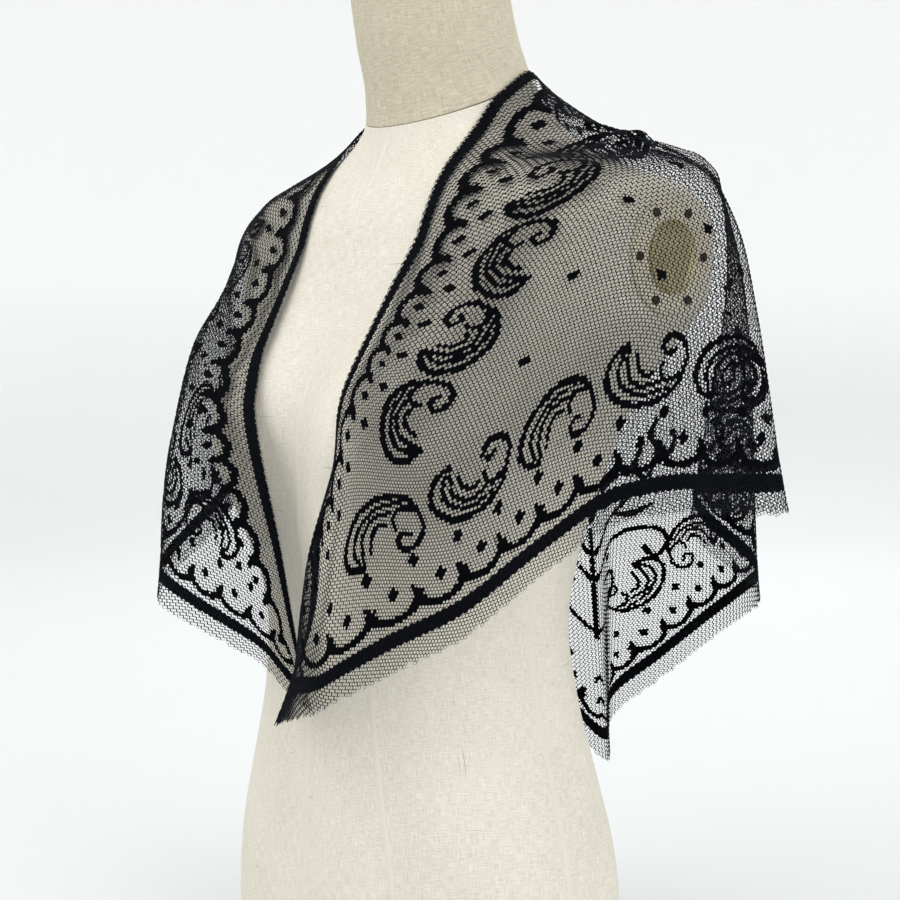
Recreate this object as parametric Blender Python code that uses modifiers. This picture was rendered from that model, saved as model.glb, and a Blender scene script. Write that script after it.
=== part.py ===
"""A triangle shawl of knitted lace, worn open on a limbless dress form covered in linen.

The part is in metres with +Z up. Its origin is the middle of the form's flat foot, and the form
faces -Y, so the wearer's left is +X. The tables are in centimetres, a cutter's unit, and CM turns
them into metres.

The shawl is one thin wall. It hangs on ribs: lines that run on the cloth from the neck edge, over
the place where the cloth leaves the form (its crest), down to the hem. A spline carries the ribs'
points round the body, and wherever the cloth would touch the form it is moved out to rest on it.
"""
import math

import bmesh
import bpy
import numpy as np
from mathutils import Matrix, Vector

CM = 0.01
COLLECTION = "triangle_shawl_on_dress_form"

# ------------------------------------------------------------------ the cut of the shawl, in cm
NECK_EDGE = 122.0        # the triangle's long edge, from front corner to front corner
BACK_DEPTH = 54.0        # from the middle of that edge to the back corner
BAND_WIDTH = 0.9         # the closely knitted bands along the neck edge and the hem
HEM_MARGIN = 1.2         # open net left outside the hem band
WALL = 0.12              # thickness of the lace wall
BAND_WALL = 0.10         # thickness of a band, which lies on the wall
BAND_GAP = 0.05          # between the wall and a band
BAND_TRIM = 0.20         # share of its width by which the neck band clears the wall's next bend
REST_GAP = 0.24          # from the form to the middle of the wall, where the cloth rests
RIB_STEPS = 3            # columns of the wall for each rib
ROWS = 12                # rows of the wall between the neck band and the hem band
ROW_CROWD = 1.3          # over 1, the rows stand closer together near the neck

# ------------------------------------------------------------------ the dress form, in cm
# Level sections of the form: each is a rounded oval, a super-ellipse, with its own front and back.
# height, half width, depth before and behind the middle line, y of that line, roundness
FORM_SECTIONS = [
    (0.0, 15.9, 10.4, 11.4, 0.0, 2.2),       # foot
    (5.0, 16.2, 10.4, 11.6, 0.0, 2.2),       # hip
    (10.0, 15.7, 10.2, 11.2, 0.0, 2.2),
    (15.0, 14.3, 10.1, 10.3, 0.1, 2.15),
    (20.0, 12.8, 9.9, 9.5, 0.1, 2.1),
    (26.0, 11.9, 9.7, 9.2, 0.0, 2.1),        # waist
    (31.0, 12.7, 10.0, 9.6, 0.3, 2.1),
    (36.0, 14.0, 10.0, 10.0, 1.0, 2.2),
    (41.0, 15.8, 10.8, 9.8, 2.2, 2.35),
    (45.0, 18.3, 11.2, 9.3, 3.6, 2.5),       # under the arm stubs
    (47.5, 20.1, 11.6, 8.8, 4.6, 2.7),
    (51.0, 20.6, 11.6, 7.9, 5.4, 2.8),
    (54.0, 20.2, 10.9, 7.0, 5.5, 2.8),
    (55.6, 18.7, 10.2, 6.3, 5.5, 2.6),
    (56.8, 15.2, 9.4, 5.8, 5.4, 2.4),        # shoulder line
    (58.2, 11.2, 8.5, 5.4, 5.2, 2.1),
    (60.0, 8.3, 7.6, 5.3, 4.9, 2.0),
    (62.5, 6.7, 6.4, 5.4, 3.5, 2.0),         # root of the neck
    (66.0, 5.9, 5.8, 5.7, 1.9, 2.0),
    (70.0, 5.6, 5.6, 5.7, 0.9, 2.0),
    (73.0, 5.5, 5.5, 5.6, 0.3, 2.0),         # flat top of the neck
]
BUST = {"out": 8.0, "height": 38.5, "reach": 5.3, "spread": 4.3, "rise": 5.2}
FORM_TURNS = 48          # points round each ring of the form
RING_STEPS = 2           # rings for each section of the table
ARM_FACE = 19.6          # the arm stubs are cut flat at this distance from the middle
NECK_SEAM = {"front": (-2.3, 60.3), "slope": 0.42, "gap": 0.03}   # y and z at the front, rise per y

PLATE = {"height": 50.8, "back": 4.9, "half_width": 3.5, "half_height": 3.8, "thick": 0.30}
CUP = {"half_width": 2.1, "half_height": 2.4, "thick": 0.28, "rim": 0.35, "floor": 0.1}
SCREW = {"count": 6, "radius": 0.30, "thick": 0.16, "inset": 0.55}

# ------------------------------------------------------------------ the ribs of the shawl, in cm
# From the right front corner round the back to the left front corner.
# along: distance on the neck edge from the middle of the back, the wearer's left counted plus.
# neck, crest, hem: the rib's points. sag: how far it dips between neck and crest.
# hem_along: distance on the hem from the back corner.
RIBS = [
    # along   neck                  crest                  sag  hem                    hem_along
    (-58.0, (1.0, -10.7, 21.2), (1.2, -10.7, 20.8), 0.0, (1.8, -10.6, 20.0), 79.9),
    (-52.0, (0.5, -11.4, 26.4), (0.3, -11.6, 24.9), 0.0, (-0.2, -11.2, 20.9), 75.0),
    (-46.5, (0.2, -12.3, 32.0), (-1.0, -12.9, 29.0), 0.0, (-2.2, -12.1, 22.9), 71.5),
    (-41.5, (-0.9, -12.8, 37.2), (-3.4, -14.0, 33.6), 0.0, (-5.0, -13.2, 24.1), 68.0),
    (-37.5, (-2.6, -12.2, 40.5), (-6.6, -14.2, 37.5), 0.0, (-8.5, -14.3, 25.4), 64.5),
    (-35.2, (-3.5, -11.4, 42.2), (-9.4, -13.5, 40.4), 0.0, (-11.4, -14.7, 26.4), 61.5),
    (-33.0, (-4.4, -10.3, 44.4), (-11.2, -12.2, 42.2), 0.0, (-12.5, -13.5, 27.6), 59.5),
    (-30.5, (-4.8, -9.1, 46.4), (-12.6, -10.8, 44.2), 0.0, (-11.6, -11.2, 30.0), 56.5),
    (-28.0, (-5.0, -7.9, 48.6), (-14.0, -9.0, 46.0), 0.0, (-12.0, -9.2, 31.2), 53.5),
    (-24.0, (-5.0, -6.0, 52.6), (-15.8, -6.0, 48.8), 0.0, (-13.8, -7.0, 32.2), 50.0),
    (-19.0, (-5.3, -3.7, 57.0), (-18.4, -2.6, 52.8), 0.3, (-17.2, -3.2, 33.6), 45.0),
    (-14.5, (-6.2, -0.8, 59.9), (-19.6, 2.2, 55.4), 0.8, (-20.4, 0.2, 34.5), 39.5),
    (-11.0, (-6.9, 2.4, 61.9), (-19.8, 8.0, 55.4), 1.0, (-21.8, 6.5, 34.0), 33.5),
    (-8.0, (-6.4, 5.2, 62.9), (-17.2, 11.8, 53.4), 0.6, (-20.5, 12.5, 31.0), 27.0),
    (-5.0, (-4.6, 7.6, 62.7), (-12.0, 13.4, 49.8), 0.2, (-16.0, 17.0, 27.0), 19.5),
    (-2.8, (-2.7, 8.9, 62.4), (-7.2, 14.5, 47.8), -0.3, (-10.0, 18.3, 22.0), 12.0),
    (-1.2, (-1.2, 9.2, 62.3), (-3.5, 14.6, 47.3), -0.5, (-4.5, 16.8, 16.8), 5.5),
    (0.0, (0.0, 9.3, 62.2), (0.0, 14.6, 47.0), -0.5, (0.0, 18.8, 12.0), 0.0),
    (1.2, (1.2, 9.2, 62.3), (3.5, 14.6, 47.3), -0.5, (3.5, 16.0, 16.3), 4.5),
    (2.6, (2.5, 9.0, 62.5), (6.8, 14.5, 47.8), -0.3, (7.0, 17.6, 19.6), 8.6),
    (4.2, (3.9, 8.2, 62.8), (10.0, 13.8, 48.8), 0.5, (11.0, 18.3, 22.8), 13.0),
    (6.0, (5.2, 6.9, 63.4), (13.5, 12.8, 50.6), 1.0, (15.5, 17.2, 25.4), 17.4),
    (7.6, (6.0, 5.4, 63.9), (16.6, 12.2, 53.2), 1.2, (18.8, 15.2, 27.0), 21.0),
    (8.8, (6.4, 4.3, 63.9), (18.4, 11.2, 54.6), 1.2, (19.2, 13.4, 28.6), 23.0),
    (10.0, (6.7, 3.1, 63.3), (19.3, 10.0, 55.6), 1.2, (17.6, 10.8, 31.0), 26.0),
    (11.2, (6.8, 2.2, 62.7), (19.8, 9.0, 56.0), 1.2, (18.0, 8.9, 33.0), 28.0),
    (11.7, (6.7, 1.7, 62.3), (19.9, 8.7, 56.1), 1.2, (19.6, 9.3, 33.4), 30.0),
    (12.6, (6.6, 1.0, 61.7), (20.0, 8.2, 56.2), 1.1, (22.4, 12.6, 33.5), 33.2),
    (14.0, (6.5, 0.0, 60.4), (19.9, 7.2, 56.4), 1.0, (23.5, 12.3, 33.8), 35.2),
    (16.0, (6.5, -1.2, 59.0), (19.4, 4.4, 56.2), 0.8, (22.8, 8.0, 34.0), 39.0),
    (18.8, (6.9, -3.0, 57.2), (19.1, 0.0, 55.2), 0.3, (21.6, 3.5, 34.1), 43.5),
    (21.7, (7.3, -4.6, 55.0), (17.2, -3.6, 51.6), 0.0, (20.0, -0.5, 33.4), 47.5),
    (25.2, (7.2, -6.3, 51.9), (14.2, -6.6, 47.4), 0.0, (18.0, -4.6, 30.5), 52.0),
    (29.4, (6.6, -8.3, 48.1), (11.0, -10.2, 43.4), 0.0, (15.5, -8.5, 26.8), 56.5),
    (35.2, (6.8, -11.4, 43.2), (9.6, -13.2, 40.0), 0.0, (12.5, -11.8, 24.5), 61.0),
    (38.0, (7.6, -12.9, 40.8), (9.2, -14.0, 38.0), 0.0, (9.5, -14.0, 22.5), 65.0),
    (41.0, (8.4, -13.6, 38.3), (8.2, -14.2, 35.0), 0.0, (7.0, -14.3, 21.2), 68.0),
    (46.5, (7.2, -13.8, 34.2), (6.0, -14.2, 31.0), 0.0, (4.0, -13.6, 20.3), 71.5),
    (52.5, (4.8, -12.7, 27.5), (3.6, -12.9, 25.5), 0.0, (1.0, -12.6, 19.4), 75.5),
    (60.8, (0.0, -11.7, 20.8), (-0.6, -11.6, 20.1), 0.0, (-2.3, -11.3, 18.4), 79.9),
]
CREST_LEAN = 0.4         # at its crest a rib keeps this share of the slope it had over the form

# ------------------------------------------------------------------ colours, roughness, metal
FINISHES = {
    "black_lace": ((0.012, 0.014, 0.022), 0.85, 0.0),
    "black_band": ((0.006, 0.007, 0.012), 0.80, 0.0),
    "body_linen": ((0.72, 0.66, 0.55), 0.90, 0.0),
    "neck_linen": ((0.62, 0.57, 0.45), 0.90, 0.0),
    "arm_plate": ((0.66, 0.60, 0.42), 0.60, 0.0),
    "olive_cup": ((0.20, 0.17, 0.05), 0.45, 0.3),
    "brown_screw": ((0.12, 0.07, 0.03), 0.40, 0.6),
}


# ================================================================== curves and the form's surface
def spline(knots, values, at):
    """Cubic curve through values at the knots, each slope taken from the two neighbours."""
    knots = np.asarray(knots, float)
    values = np.asarray(values, float)
    at = np.clip(at, knots[0], knots[-1])
    slopes = np.gradient(values, knots, axis=0)
    left = np.clip(np.searchsorted(knots, at, side="right") - 1, 0, len(knots) - 2)
    span = (knots[left + 1] - knots[left])[..., None]
    t = (at - knots[left])[..., None] / span
    return hermite(t, values[left], values[left + 1], slopes[left] * span, slopes[left + 1] * span)


def hermite(t, start, end, start_slope, end_slope):
    """Cubic from start to end for t from 0 to 1, with the slopes given at both ends."""
    return ((2 * t**3 - 3 * t**2 + 1) * start + (t**3 - 2 * t**2 + t) * start_slope
            + (3 * t**2 - 2 * t**3) * end + (t**3 - t**2) * end_slope)


def bust_swell(x, z, half_width):
    """Forward swell of the two breasts: a bell each side, fading out at the form's sides."""
    side = np.exp(-((np.abs(x) - BUST["out"]) / BUST["spread"]) ** 2 / 2)
    other = np.exp(-((np.abs(x) + BUST["out"]) / BUST["spread"]) ** 2 / 2)
    level = np.exp(-((z - BUST["height"]) / BUST["rise"]) ** 2 / 2)
    fade = np.clip(1 - (x / half_width) ** 2, 0, 1) ** 0.35
    return BUST["reach"] * (side + other) * level * fade


def form_section(z):
    """Half width, front depth, back depth, middle line and roundness of the form at height z."""
    table = np.array(FORM_SECTIONS)
    return np.moveaxis(spline(table[:, 0], table[:, 1:], np.asarray(z, float)), -1, 0)


def form_point(turn, z):
    """Point of the form's surface at a turn (0 in front, 90 degrees at the wearer's left)."""
    half, front, back, middle, power = form_section(z)
    x = half * np.sign(np.sin(turn)) * np.abs(np.sin(turn)) ** (2 / power)
    depth = np.abs(np.cos(turn)) ** (2 / power)
    ahead = middle - front * depth - bust_swell(x, z, half)
    y = np.where(np.cos(turn) > 0, ahead, middle + back * depth)
    return np.stack([x, y, z + 0 * x], axis=-1)


def form_ratio(points):
    """Under zero inside the form and over zero outside it, as the section's own radius."""
    x, y, z = np.moveaxis(points, -1, 0)
    half, front, back, middle, power = form_section(z)
    depth = y - middle
    depth = np.where(depth < 0, np.minimum(depth + bust_swell(x, z, half), -1e-6), depth)
    reach = np.where(depth < 0, front, back)
    return ((np.abs(x) / half) ** power + (np.abs(depth) / reach) ** power) ** (1 / power) - 1


def rest_on_form(points, gap, rounds=6, step=0.05):
    """Moves points that are nearer than gap to the form straight out until they are gap away."""
    points = points.copy()
    for _ in range(rounds):
        slope = np.stack([form_ratio(points + step * axis) - form_ratio(points - step * axis)
                          for axis in np.eye(3)], axis=-1) / (2 * step)
        steep = np.linalg.norm(slope, axis=-1)
        short = np.clip(gap - form_ratio(points) / steep, 0, 2)
        points += (short / steep)[..., None] * slope
    return points


# ================================================================== the shawl's surface
def rib_columns(rib):
    """The ribs' table read at the rib numbers given: along, neck, crest, sag, hem, hem_along."""
    numbers = np.arange(len(RIBS), dtype=float)
    table = np.array([(r[0], *r[1], *r[2], r[3], *r[4], r[5]) for r in RIBS])
    row = spline(numbers, table, rib)
    return row[:, 0], row[:, 1:4], row[:, 4:7], row[:, 7], row[:, 8:11], row[:, 11]


def shawl_surface(rib, down):
    """Points of the shawl, one row for each rib number and down running from 0 at the neck edge
    to 1 at the hem: neck to crest and crest to hem are two cubics that share the crest's slope."""
    _, neck, crest, sag, hem, _ = rib_columns(rib)
    over = np.linalg.norm(crest - neck, axis=1)
    hang = np.linalg.norm(hem - crest, axis=1)
    share = (over / (over + hang))[:, None, None]
    neck, crest, hem = neck[:, None], crest[:, None], hem[:, None]
    over_slope = (crest - neck) / share
    hang_slope = (hem - crest) / (1 - share)
    crest_slope = CREST_LEAN * over_slope + (1 - CREST_LEAN) * hang_slope
    first_slope = 1.1 * over_slope - 0.1 * crest_slope
    last_slope = 1.1 * hang_slope - 0.1 * crest_slope
    down = down[..., None]
    t_over = np.clip(down / share, 0, 1)
    t_hang = np.clip((down - share) / (1 - share), 0, 1)
    upper = hermite(t_over, neck, crest, first_slope * share, crest_slope * share)
    upper[..., 2] -= sag[:, None] * np.sin(math.pi * t_over[..., 0])
    lower = hermite(t_hang, crest, hem, crest_slope * (1 - share), last_slope * (1 - share))
    points = np.where(down < share, upper, lower)
    return rest_on_form(points, REST_GAP)


def shawl_rows(rib):
    """Where the wall's rows cross each rib: rows lie on both sides of each band, so that a band
    is a copy of the wall's own faces, and the others are spread between."""
    along, _, _, _, _, hem_along = rib_columns(rib)
    hem_side = math.hypot(NECK_EDGE / 2, BACK_DEPTH)
    deep = BACK_DEPTH * np.clip(1 - hem_along / hem_side, 0.02, 1)
    reach = (NECK_EDGE / 2 - np.abs(along)).clip(0.5) * BACK_DEPTH / hem_side
    neck_band = np.minimum(BAND_WIDTH / deep, 0.25)
    margin = np.minimum(HEM_MARGIN / reach, 0.30)
    hem_band = np.minimum((HEM_MARGIN + BAND_WIDTH) / reach, 0.45)
    between = np.linspace(0, 1, ROWS + 1) ** ROW_CROWD
    start, stop = neck_band[:, None], 1 - hem_band[:, None]
    inner = start + (stop - start) * between
    edges = np.stack([1 - margin, np.ones_like(margin)], axis=1)
    return np.concatenate([np.zeros((len(rib), 1)), inner, edges], axis=1)


def face_normals(points):
    """Unit normal of each face of a grid of points, pointing away from the wearer."""
    one_way = points[1:, 1:] - points[:-1, :-1]
    other_way = points[:-1, 1:] - points[1:, :-1]
    normal = np.cross(one_way, other_way)
    return normal / np.linalg.norm(normal, axis=-1, keepdims=True)


def outward_steps(points):
    """For each grid point, the step that moves the faces round it out by one, as a mitre does."""
    faces = np.pad(face_normals(points), ((1, 1), (1, 1), (0, 0)), mode="edge")
    around = np.stack([faces[:-1, :-1], faces[1:, :-1], faces[1:, 1:], faces[:-1, 1:]])
    step = around.sum(axis=0)
    step /= np.linalg.norm(step, axis=-1, keepdims=True)
    lean = (around * step).sum(axis=-1).min(axis=0)
    return step / np.clip(lean, 0.5, 1)[..., None]


# ================================================================== Blender objects
def clear_scene():
    """Removes every object, so that the script starts from an empty scene."""
    for item in list(bpy.data.objects):
        bpy.data.objects.remove(item, do_unlink=True)


def material(name):
    """Principled material from the table of finishes."""
    colour, roughness, metallic = FINISHES[name]
    finish = bpy.data.materials.new(name)
    finish.use_nodes = True
    shader = finish.node_tree.nodes["Principled BSDF"]
    shader.inputs["Base Color"].default_value = (*colour, 1)
    shader.inputs["Roughness"].default_value = roughness
    shader.inputs["Metallic"].default_value = metallic
    finish.diffuse_color = (*colour, 1)
    return finish


def add_object(name, mesh, finish, collection):
    """Puts a mesh in the scene under its name, with its finish."""
    item = bpy.data.objects.new(name, mesh)
    item.data.materials.append(finish)
    collection.objects.link(item)
    return item


def grid_mesh(name, points):
    """Open mesh of four-sided faces over a grid of points in centimetres."""
    columns, rows, _ = points.shape
    number = np.arange(columns * rows).reshape(columns, rows)
    faces = np.stack([number[:-1, :-1], number[1:, :-1], number[1:, 1:], number[:-1, 1:]], axis=-1)
    mesh = bpy.data.meshes.new(name)
    mesh.from_pydata((points.reshape(-1, 3) * CM).tolist(), [], faces.reshape(-1, 4).tolist())
    mesh.shade_smooth()
    return mesh


def add_wall(name, points, thickness, finish, collection):
    """A sheet over a grid of points, made solid to both sides of them."""
    item = add_object(name, grid_mesh(name, points), finish, collection)
    wall = item.modifiers.new("wall", "SOLIDIFY")
    wall.thickness = thickness * CM
    wall.offset = 0
    wall.use_even_offset = True
    return item


def build_shawl(finishes, collection):
    """The lace wall, and on its outer side the neck band and the two halves of the hem band."""
    last = len(RIBS) - 1
    rib = np.linspace(0, last, last * RIB_STEPS + 1)
    points = shawl_surface(rib, shawl_rows(rib))
    add_wall("lace_triangle", points, WALL, finishes["black_lace"], collection)

    lift = WALL / 2 + BAND_GAP + BAND_WALL / 2
    raised = points + lift * outward_steps(points)
    back = RIB_STEPS * [r[0] for r in RIBS].index(0.0)
    neck_inner = (1 - BAND_TRIM) * raised[:, 1] + BAND_TRIM * raised[:, 0]
    strips = {
        "neck_band": np.stack([raised[:, 0], neck_inner], axis=1)[1:-1],
        "right_hem_band": raised[RIB_STEPS:back, -3:-1],
        "left_hem_band": raised[back + 1:-RIB_STEPS, -3:-1],
    }
    for name, strip in strips.items():
        add_wall(name, strip, BAND_WALL, finishes["black_band"], collection)


def loft(name, rings):
    """Closed mesh through rings of points in centimetres, with a flat face at each end."""
    count, turns, _ = rings.shape
    number = np.arange(count * turns).reshape(count, turns)
    ahead = np.roll(number, -1, axis=1)
    sides = np.stack([number[:-1], ahead[:-1], ahead[1:], number[1:]], axis=-1).reshape(-1, 4)
    faces = sides.tolist() + [number[0, ::-1].tolist(), number[-1].tolist()]
    mesh = bpy.data.meshes.new(name)
    mesh.from_pydata((rings.reshape(-1, 3) * CM).tolist(), [], faces)
    return mesh


def keep_side(mesh, point, outward):
    """Cuts a closed mesh with a plane, keeps what lies behind it and closes the cut flat."""
    work = bmesh.new()
    work.from_mesh(mesh)
    everything = work.verts[:] + work.edges[:] + work.faces[:]
    cut = bmesh.ops.bisect_plane(work, geom=everything, dist=1e-6, plane_co=Vector(point) * CM,
                                 plane_no=outward, clear_outer=True)
    rim = [e for e in cut["geom_cut"] if isinstance(e, bmesh.types.BMEdge)]
    bmesh.ops.contextual_create(work, geom=rim)
    bmesh.ops.recalc_face_normals(work, faces=work.faces[:])
    work.to_mesh(mesh)
    work.free()


def build_form(finishes, collection):
    """Torso and neck: one lofted body, cut flat at the arm stubs and parted at the neck seam."""
    turns = np.linspace(-math.pi, math.pi, FORM_TURNS, endpoint=False)
    levels = [section[0] for section in FORM_SECTIONS]
    steps = np.arange(RING_STEPS * (len(levels) - 1) + 1) / RING_STEPS
    heights = np.interp(steps, np.arange(len(levels)), levels)
    turn_grid, height_grid = np.meshgrid(turns, heights)
    rings = form_point(turn_grid, height_grid)

    seam_y, seam_z = NECK_SEAM["front"]
    seam_up = Vector((0, -NECK_SEAM["slope"], 1)).normalized()
    half_gap = seam_up * NECK_SEAM["gap"] / 2
    seam = Vector((0, seam_y, seam_z))

    torso = loft("form_torso", rings)
    keep_side(torso, seam - half_gap, seam_up)
    for side in (-1, 1):
        keep_side(torso, (side * ARM_FACE, 0, 0), (side, 0, 0))
    neck = loft("form_neck", rings)
    keep_side(neck, seam + half_gap, -seam_up)
    for mesh, finish in ((torso, "body_linen"), (neck, "neck_linen")):
        mesh.shade_smooth()
        mesh.set_sharp_from_angle(angle=math.radians(35))
        add_object(mesh.name, mesh, finishes[finish], collection)


def oval_disc(name, half_width, half_height, thick, bevel, sides):
    """Flat oval on the y-z plane, from x = 0 to x = thick, with a rounded outer edge."""
    work = bmesh.new()
    bmesh.ops.create_cone(work, cap_ends=True, segments=sides, radius1=1, radius2=1, depth=thick * CM,
                          matrix=Matrix.Rotation(math.pi / 2, 4, "Y"))
    bmesh.ops.scale(work, vec=(1, half_width * CM, half_height * CM), verts=work.verts[:])
    bmesh.ops.translate(work, vec=(thick * CM / 2, 0, 0), verts=work.verts[:])
    rim = [e for e in work.edges if min(v.co.x for v in e.verts) > thick * CM * 0.9]
    bmesh.ops.bevel(work, geom=rim, offset=bevel * CM, segments=2, affect="EDGES", profile=0.5)
    mesh = bpy.data.meshes.new(name)
    work.to_mesh(mesh)
    work.free()
    mesh.shade_smooth()
    mesh.set_sharp_from_angle(angle=math.radians(35))
    return mesh


def hollow_cup(name):
    """The oval cup: a disc whose face is sunk inside its rim, with the floor left under it."""
    mesh = oval_disc(name, CUP["half_width"], CUP["half_height"], CUP["thick"], 0.06, 28)
    work = bmesh.new()
    work.from_mesh(mesh)
    face = max(work.faces, key=lambda f: f.calc_center_median().x + f.calc_area())
    bmesh.ops.inset_region(work, faces=[face], thickness=CUP["rim"] * CM)
    depth = (CUP["thick"] - CUP["floor"]) * CM
    bmesh.ops.translate(work, vec=(-depth, 0, 0), verts=face.verts[:])
    work.to_mesh(mesh)
    work.free()
    return mesh


def build_arm_plates(finishes, collection):
    """On each arm stub: the oval plate, the cup in its middle and six screws round it."""
    face = ARM_FACE + 0.03
    plate_top = face + PLATE["thick"] + 0.03
    for side, word in ((-1, "right"), (1, "left")):
        half_turn = Matrix.Rotation(math.pi, 4, "Z") if side < 0 else Matrix.Identity(4)
        middle = Vector((0, PLATE["back"], PLATE["height"]))

        def place(mesh, out, across, up, finish):
            item = add_object(mesh.name, mesh, finishes[finish], collection)
            spot = Vector((side * out, middle.y + across, middle.z + up))
            item.matrix_world = Matrix.Translation(spot * CM) @ half_turn

        plate = oval_disc(f"{word}_arm_plate", PLATE["half_width"], PLATE["half_height"],
                          PLATE["thick"], 0.08, 32)
        place(plate, face, 0, 0, "arm_plate")
        place(hollow_cup(f"{word}_arm_cup"), plate_top, 0, 0, "olive_cup")
        for number in range(SCREW["count"]):
            angle = 2 * math.pi * (number + 0.5) / SCREW["count"]
            head = oval_disc(f"{word}_plate_screw_{number + 1}", SCREW["radius"],
                             SCREW["radius"], SCREW["thick"], 0.05, 12)
            across = (PLATE["half_width"] - SCREW["inset"]) * math.sin(angle)
            up = (PLATE["half_height"] - SCREW["inset"]) * math.cos(angle)
            place(head, plate_top, across, up, "brown_screw")


def main():
    """Builds the whole object."""
    clear_scene()
    collection = bpy.data.collections.new(COLLECTION)
    bpy.context.scene.collection.children.link(collection)
    finishes = {name: material(name) for name in FINISHES}
    build_form(finishes, collection)
    build_arm_plates(finishes, collection)
    build_shawl(finishes, collection)


main()
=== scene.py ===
# %% [markdown]
# # A triangle shawl of knitted lace on a dress form
#
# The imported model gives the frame: where every part is, and how large. This lesson dresses it. The
# shawl becomes real net, with a ribbon of yarn from each mesh to the next, and its flowers are
# charted on the same net. The form gets its linen covers, welted seams and arm plates.

# %% Load the frame
import math

import bpy
import numpy as np
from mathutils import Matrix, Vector


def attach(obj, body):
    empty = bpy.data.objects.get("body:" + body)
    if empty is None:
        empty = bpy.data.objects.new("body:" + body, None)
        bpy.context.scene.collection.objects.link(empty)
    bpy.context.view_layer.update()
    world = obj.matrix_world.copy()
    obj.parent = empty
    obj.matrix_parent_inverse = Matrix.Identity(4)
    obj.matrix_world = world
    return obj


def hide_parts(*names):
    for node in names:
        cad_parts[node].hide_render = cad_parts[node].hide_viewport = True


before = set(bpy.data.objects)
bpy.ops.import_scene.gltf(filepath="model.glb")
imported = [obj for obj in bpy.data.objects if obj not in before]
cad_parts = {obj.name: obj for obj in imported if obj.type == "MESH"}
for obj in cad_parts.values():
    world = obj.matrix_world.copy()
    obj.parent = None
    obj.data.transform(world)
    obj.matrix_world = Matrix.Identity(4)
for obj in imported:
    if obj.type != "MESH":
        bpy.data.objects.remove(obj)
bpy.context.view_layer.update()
scene = bpy.context.scene
CM = 0.01  # the tables are in centimetres, a cutter's unit

# %% [markdown]
# ## Stage, light and camera
#
# A flat floor would leave a horizon, so the floor is a wide dish: a profile turned round the middle,
# level at first and then rising like the sweep of paper behind a product. The light is a large soft
# panel on each side and a white room. Every mesh is made from whole arrays, so the helpers for that
# come first.

# %% Meshes from whole arrays
CUT_MAP = "OFBake"  # the map of the flat cut


def grid_faces(columns, rows, wrap=False):
    """Four-sided faces of a grid numbered row by row within each column, closed round if wrap."""
    number = np.arange(columns * rows).reshape(columns, rows)
    if wrap:
        number = np.vstack([number, number[:1]])
    corners = number[:-1, :-1], number[1:, :-1], number[1:, 1:], number[:-1, 1:]
    return np.stack(corners, -1).reshape(-1, 4)


def turns(count):
    """Equal steps once round, from 0 up to the last before a whole turn."""
    return np.linspace(0, 2 * math.pi, count, endpoint=False)


def unit(vectors):
    """Vectors divided by their own lengths."""
    return vectors / np.maximum(np.linalg.norm(vectors, axis=-1, keepdims=True), 1e-9)


def add_object(name, data):
    """Object of the scene that shows a mesh, a light or a camera."""
    made = bpy.data.objects.new(name, data)
    scene.collection.objects.link(made)
    return made


def run_length(points):
    """Length of a line of points, from the first of them to each."""
    return np.concatenate([[0], np.linalg.norm(np.diff(points, axis=0), axis=-1).cumsum()])


def new_piece(name, points, face_groups, finish, uv=None, filled=None):
    """Object from points in centimetres and arrays of faces. uv holds a pair for each face corner,
    and filled a number for each point, which the finish reads."""
    mesh = bpy.data.meshes.new(name)
    corners = np.concatenate([group.ravel() for group in face_groups]).astype(np.int32)
    counts = np.concatenate([np.full(len(group), group.shape[1]) for group in face_groups])
    starts = np.concatenate([[0], np.cumsum(counts)[:-1]]).astype(np.int32)
    mesh.vertices.add(len(points))
    mesh.vertices.foreach_set("co", (points * CM).astype(np.float32).ravel())
    mesh.loops.add(len(corners))
    mesh.loops.foreach_set("vertex_index", corners)
    mesh.polygons.add(len(counts))
    mesh.polygons.foreach_set("loop_start", starts)
    mesh.update(calc_edges=True)
    if uv is not None:
        layer = mesh.uv_layers.new(name=CUT_MAP)
        layer.data.foreach_set("uv", uv.astype(np.float32).ravel())
    if filled is not None:
        layer = mesh.attributes.new("filled", "FLOAT", "POINT")
        layer.data.foreach_set("value", filled.astype(np.float32))
    mesh.shade_smooth()
    mesh.materials.append(finish)
    return add_object(name, mesh)

# %% Camera
AIM = Vector((0.0142, 0.0170, 0.3740))
AZIMUTH, ELEVATION = math.radians(50), math.radians(4)
DISTANCE = 1.40
LENS = 78.4
towards = Vector((math.sin(AZIMUTH) * math.cos(ELEVATION),
                  -math.cos(AZIMUTH) * math.cos(ELEVATION),
                  math.sin(ELEVATION)))
camera = add_object("camera", bpy.data.cameras.new("camera"))
camera.data.lens = LENS
camera.data.clip_start = 0.05
camera.location = AIM + DISTANCE * towards
camera.rotation_euler = towards.to_track_quat("Z", "Y").to_euler()
scene.camera = camera
print("camera at", [round(v, 3) for v in camera.location])

# %% Soft panels and the white room
def soft_panel(name, place, target, width, power, colour):
    """Square area light at a place, turned to shine at a target, all in metres and watts."""
    light = bpy.data.lights.new(name, "AREA")
    light.size = width
    light.energy = power
    light.color = colour
    lamp = add_object(name, light)
    lamp.location = place
    lamp.rotation_euler = (Vector(place) - Vector(target)).to_track_quat("Z", "Y").to_euler()


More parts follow.
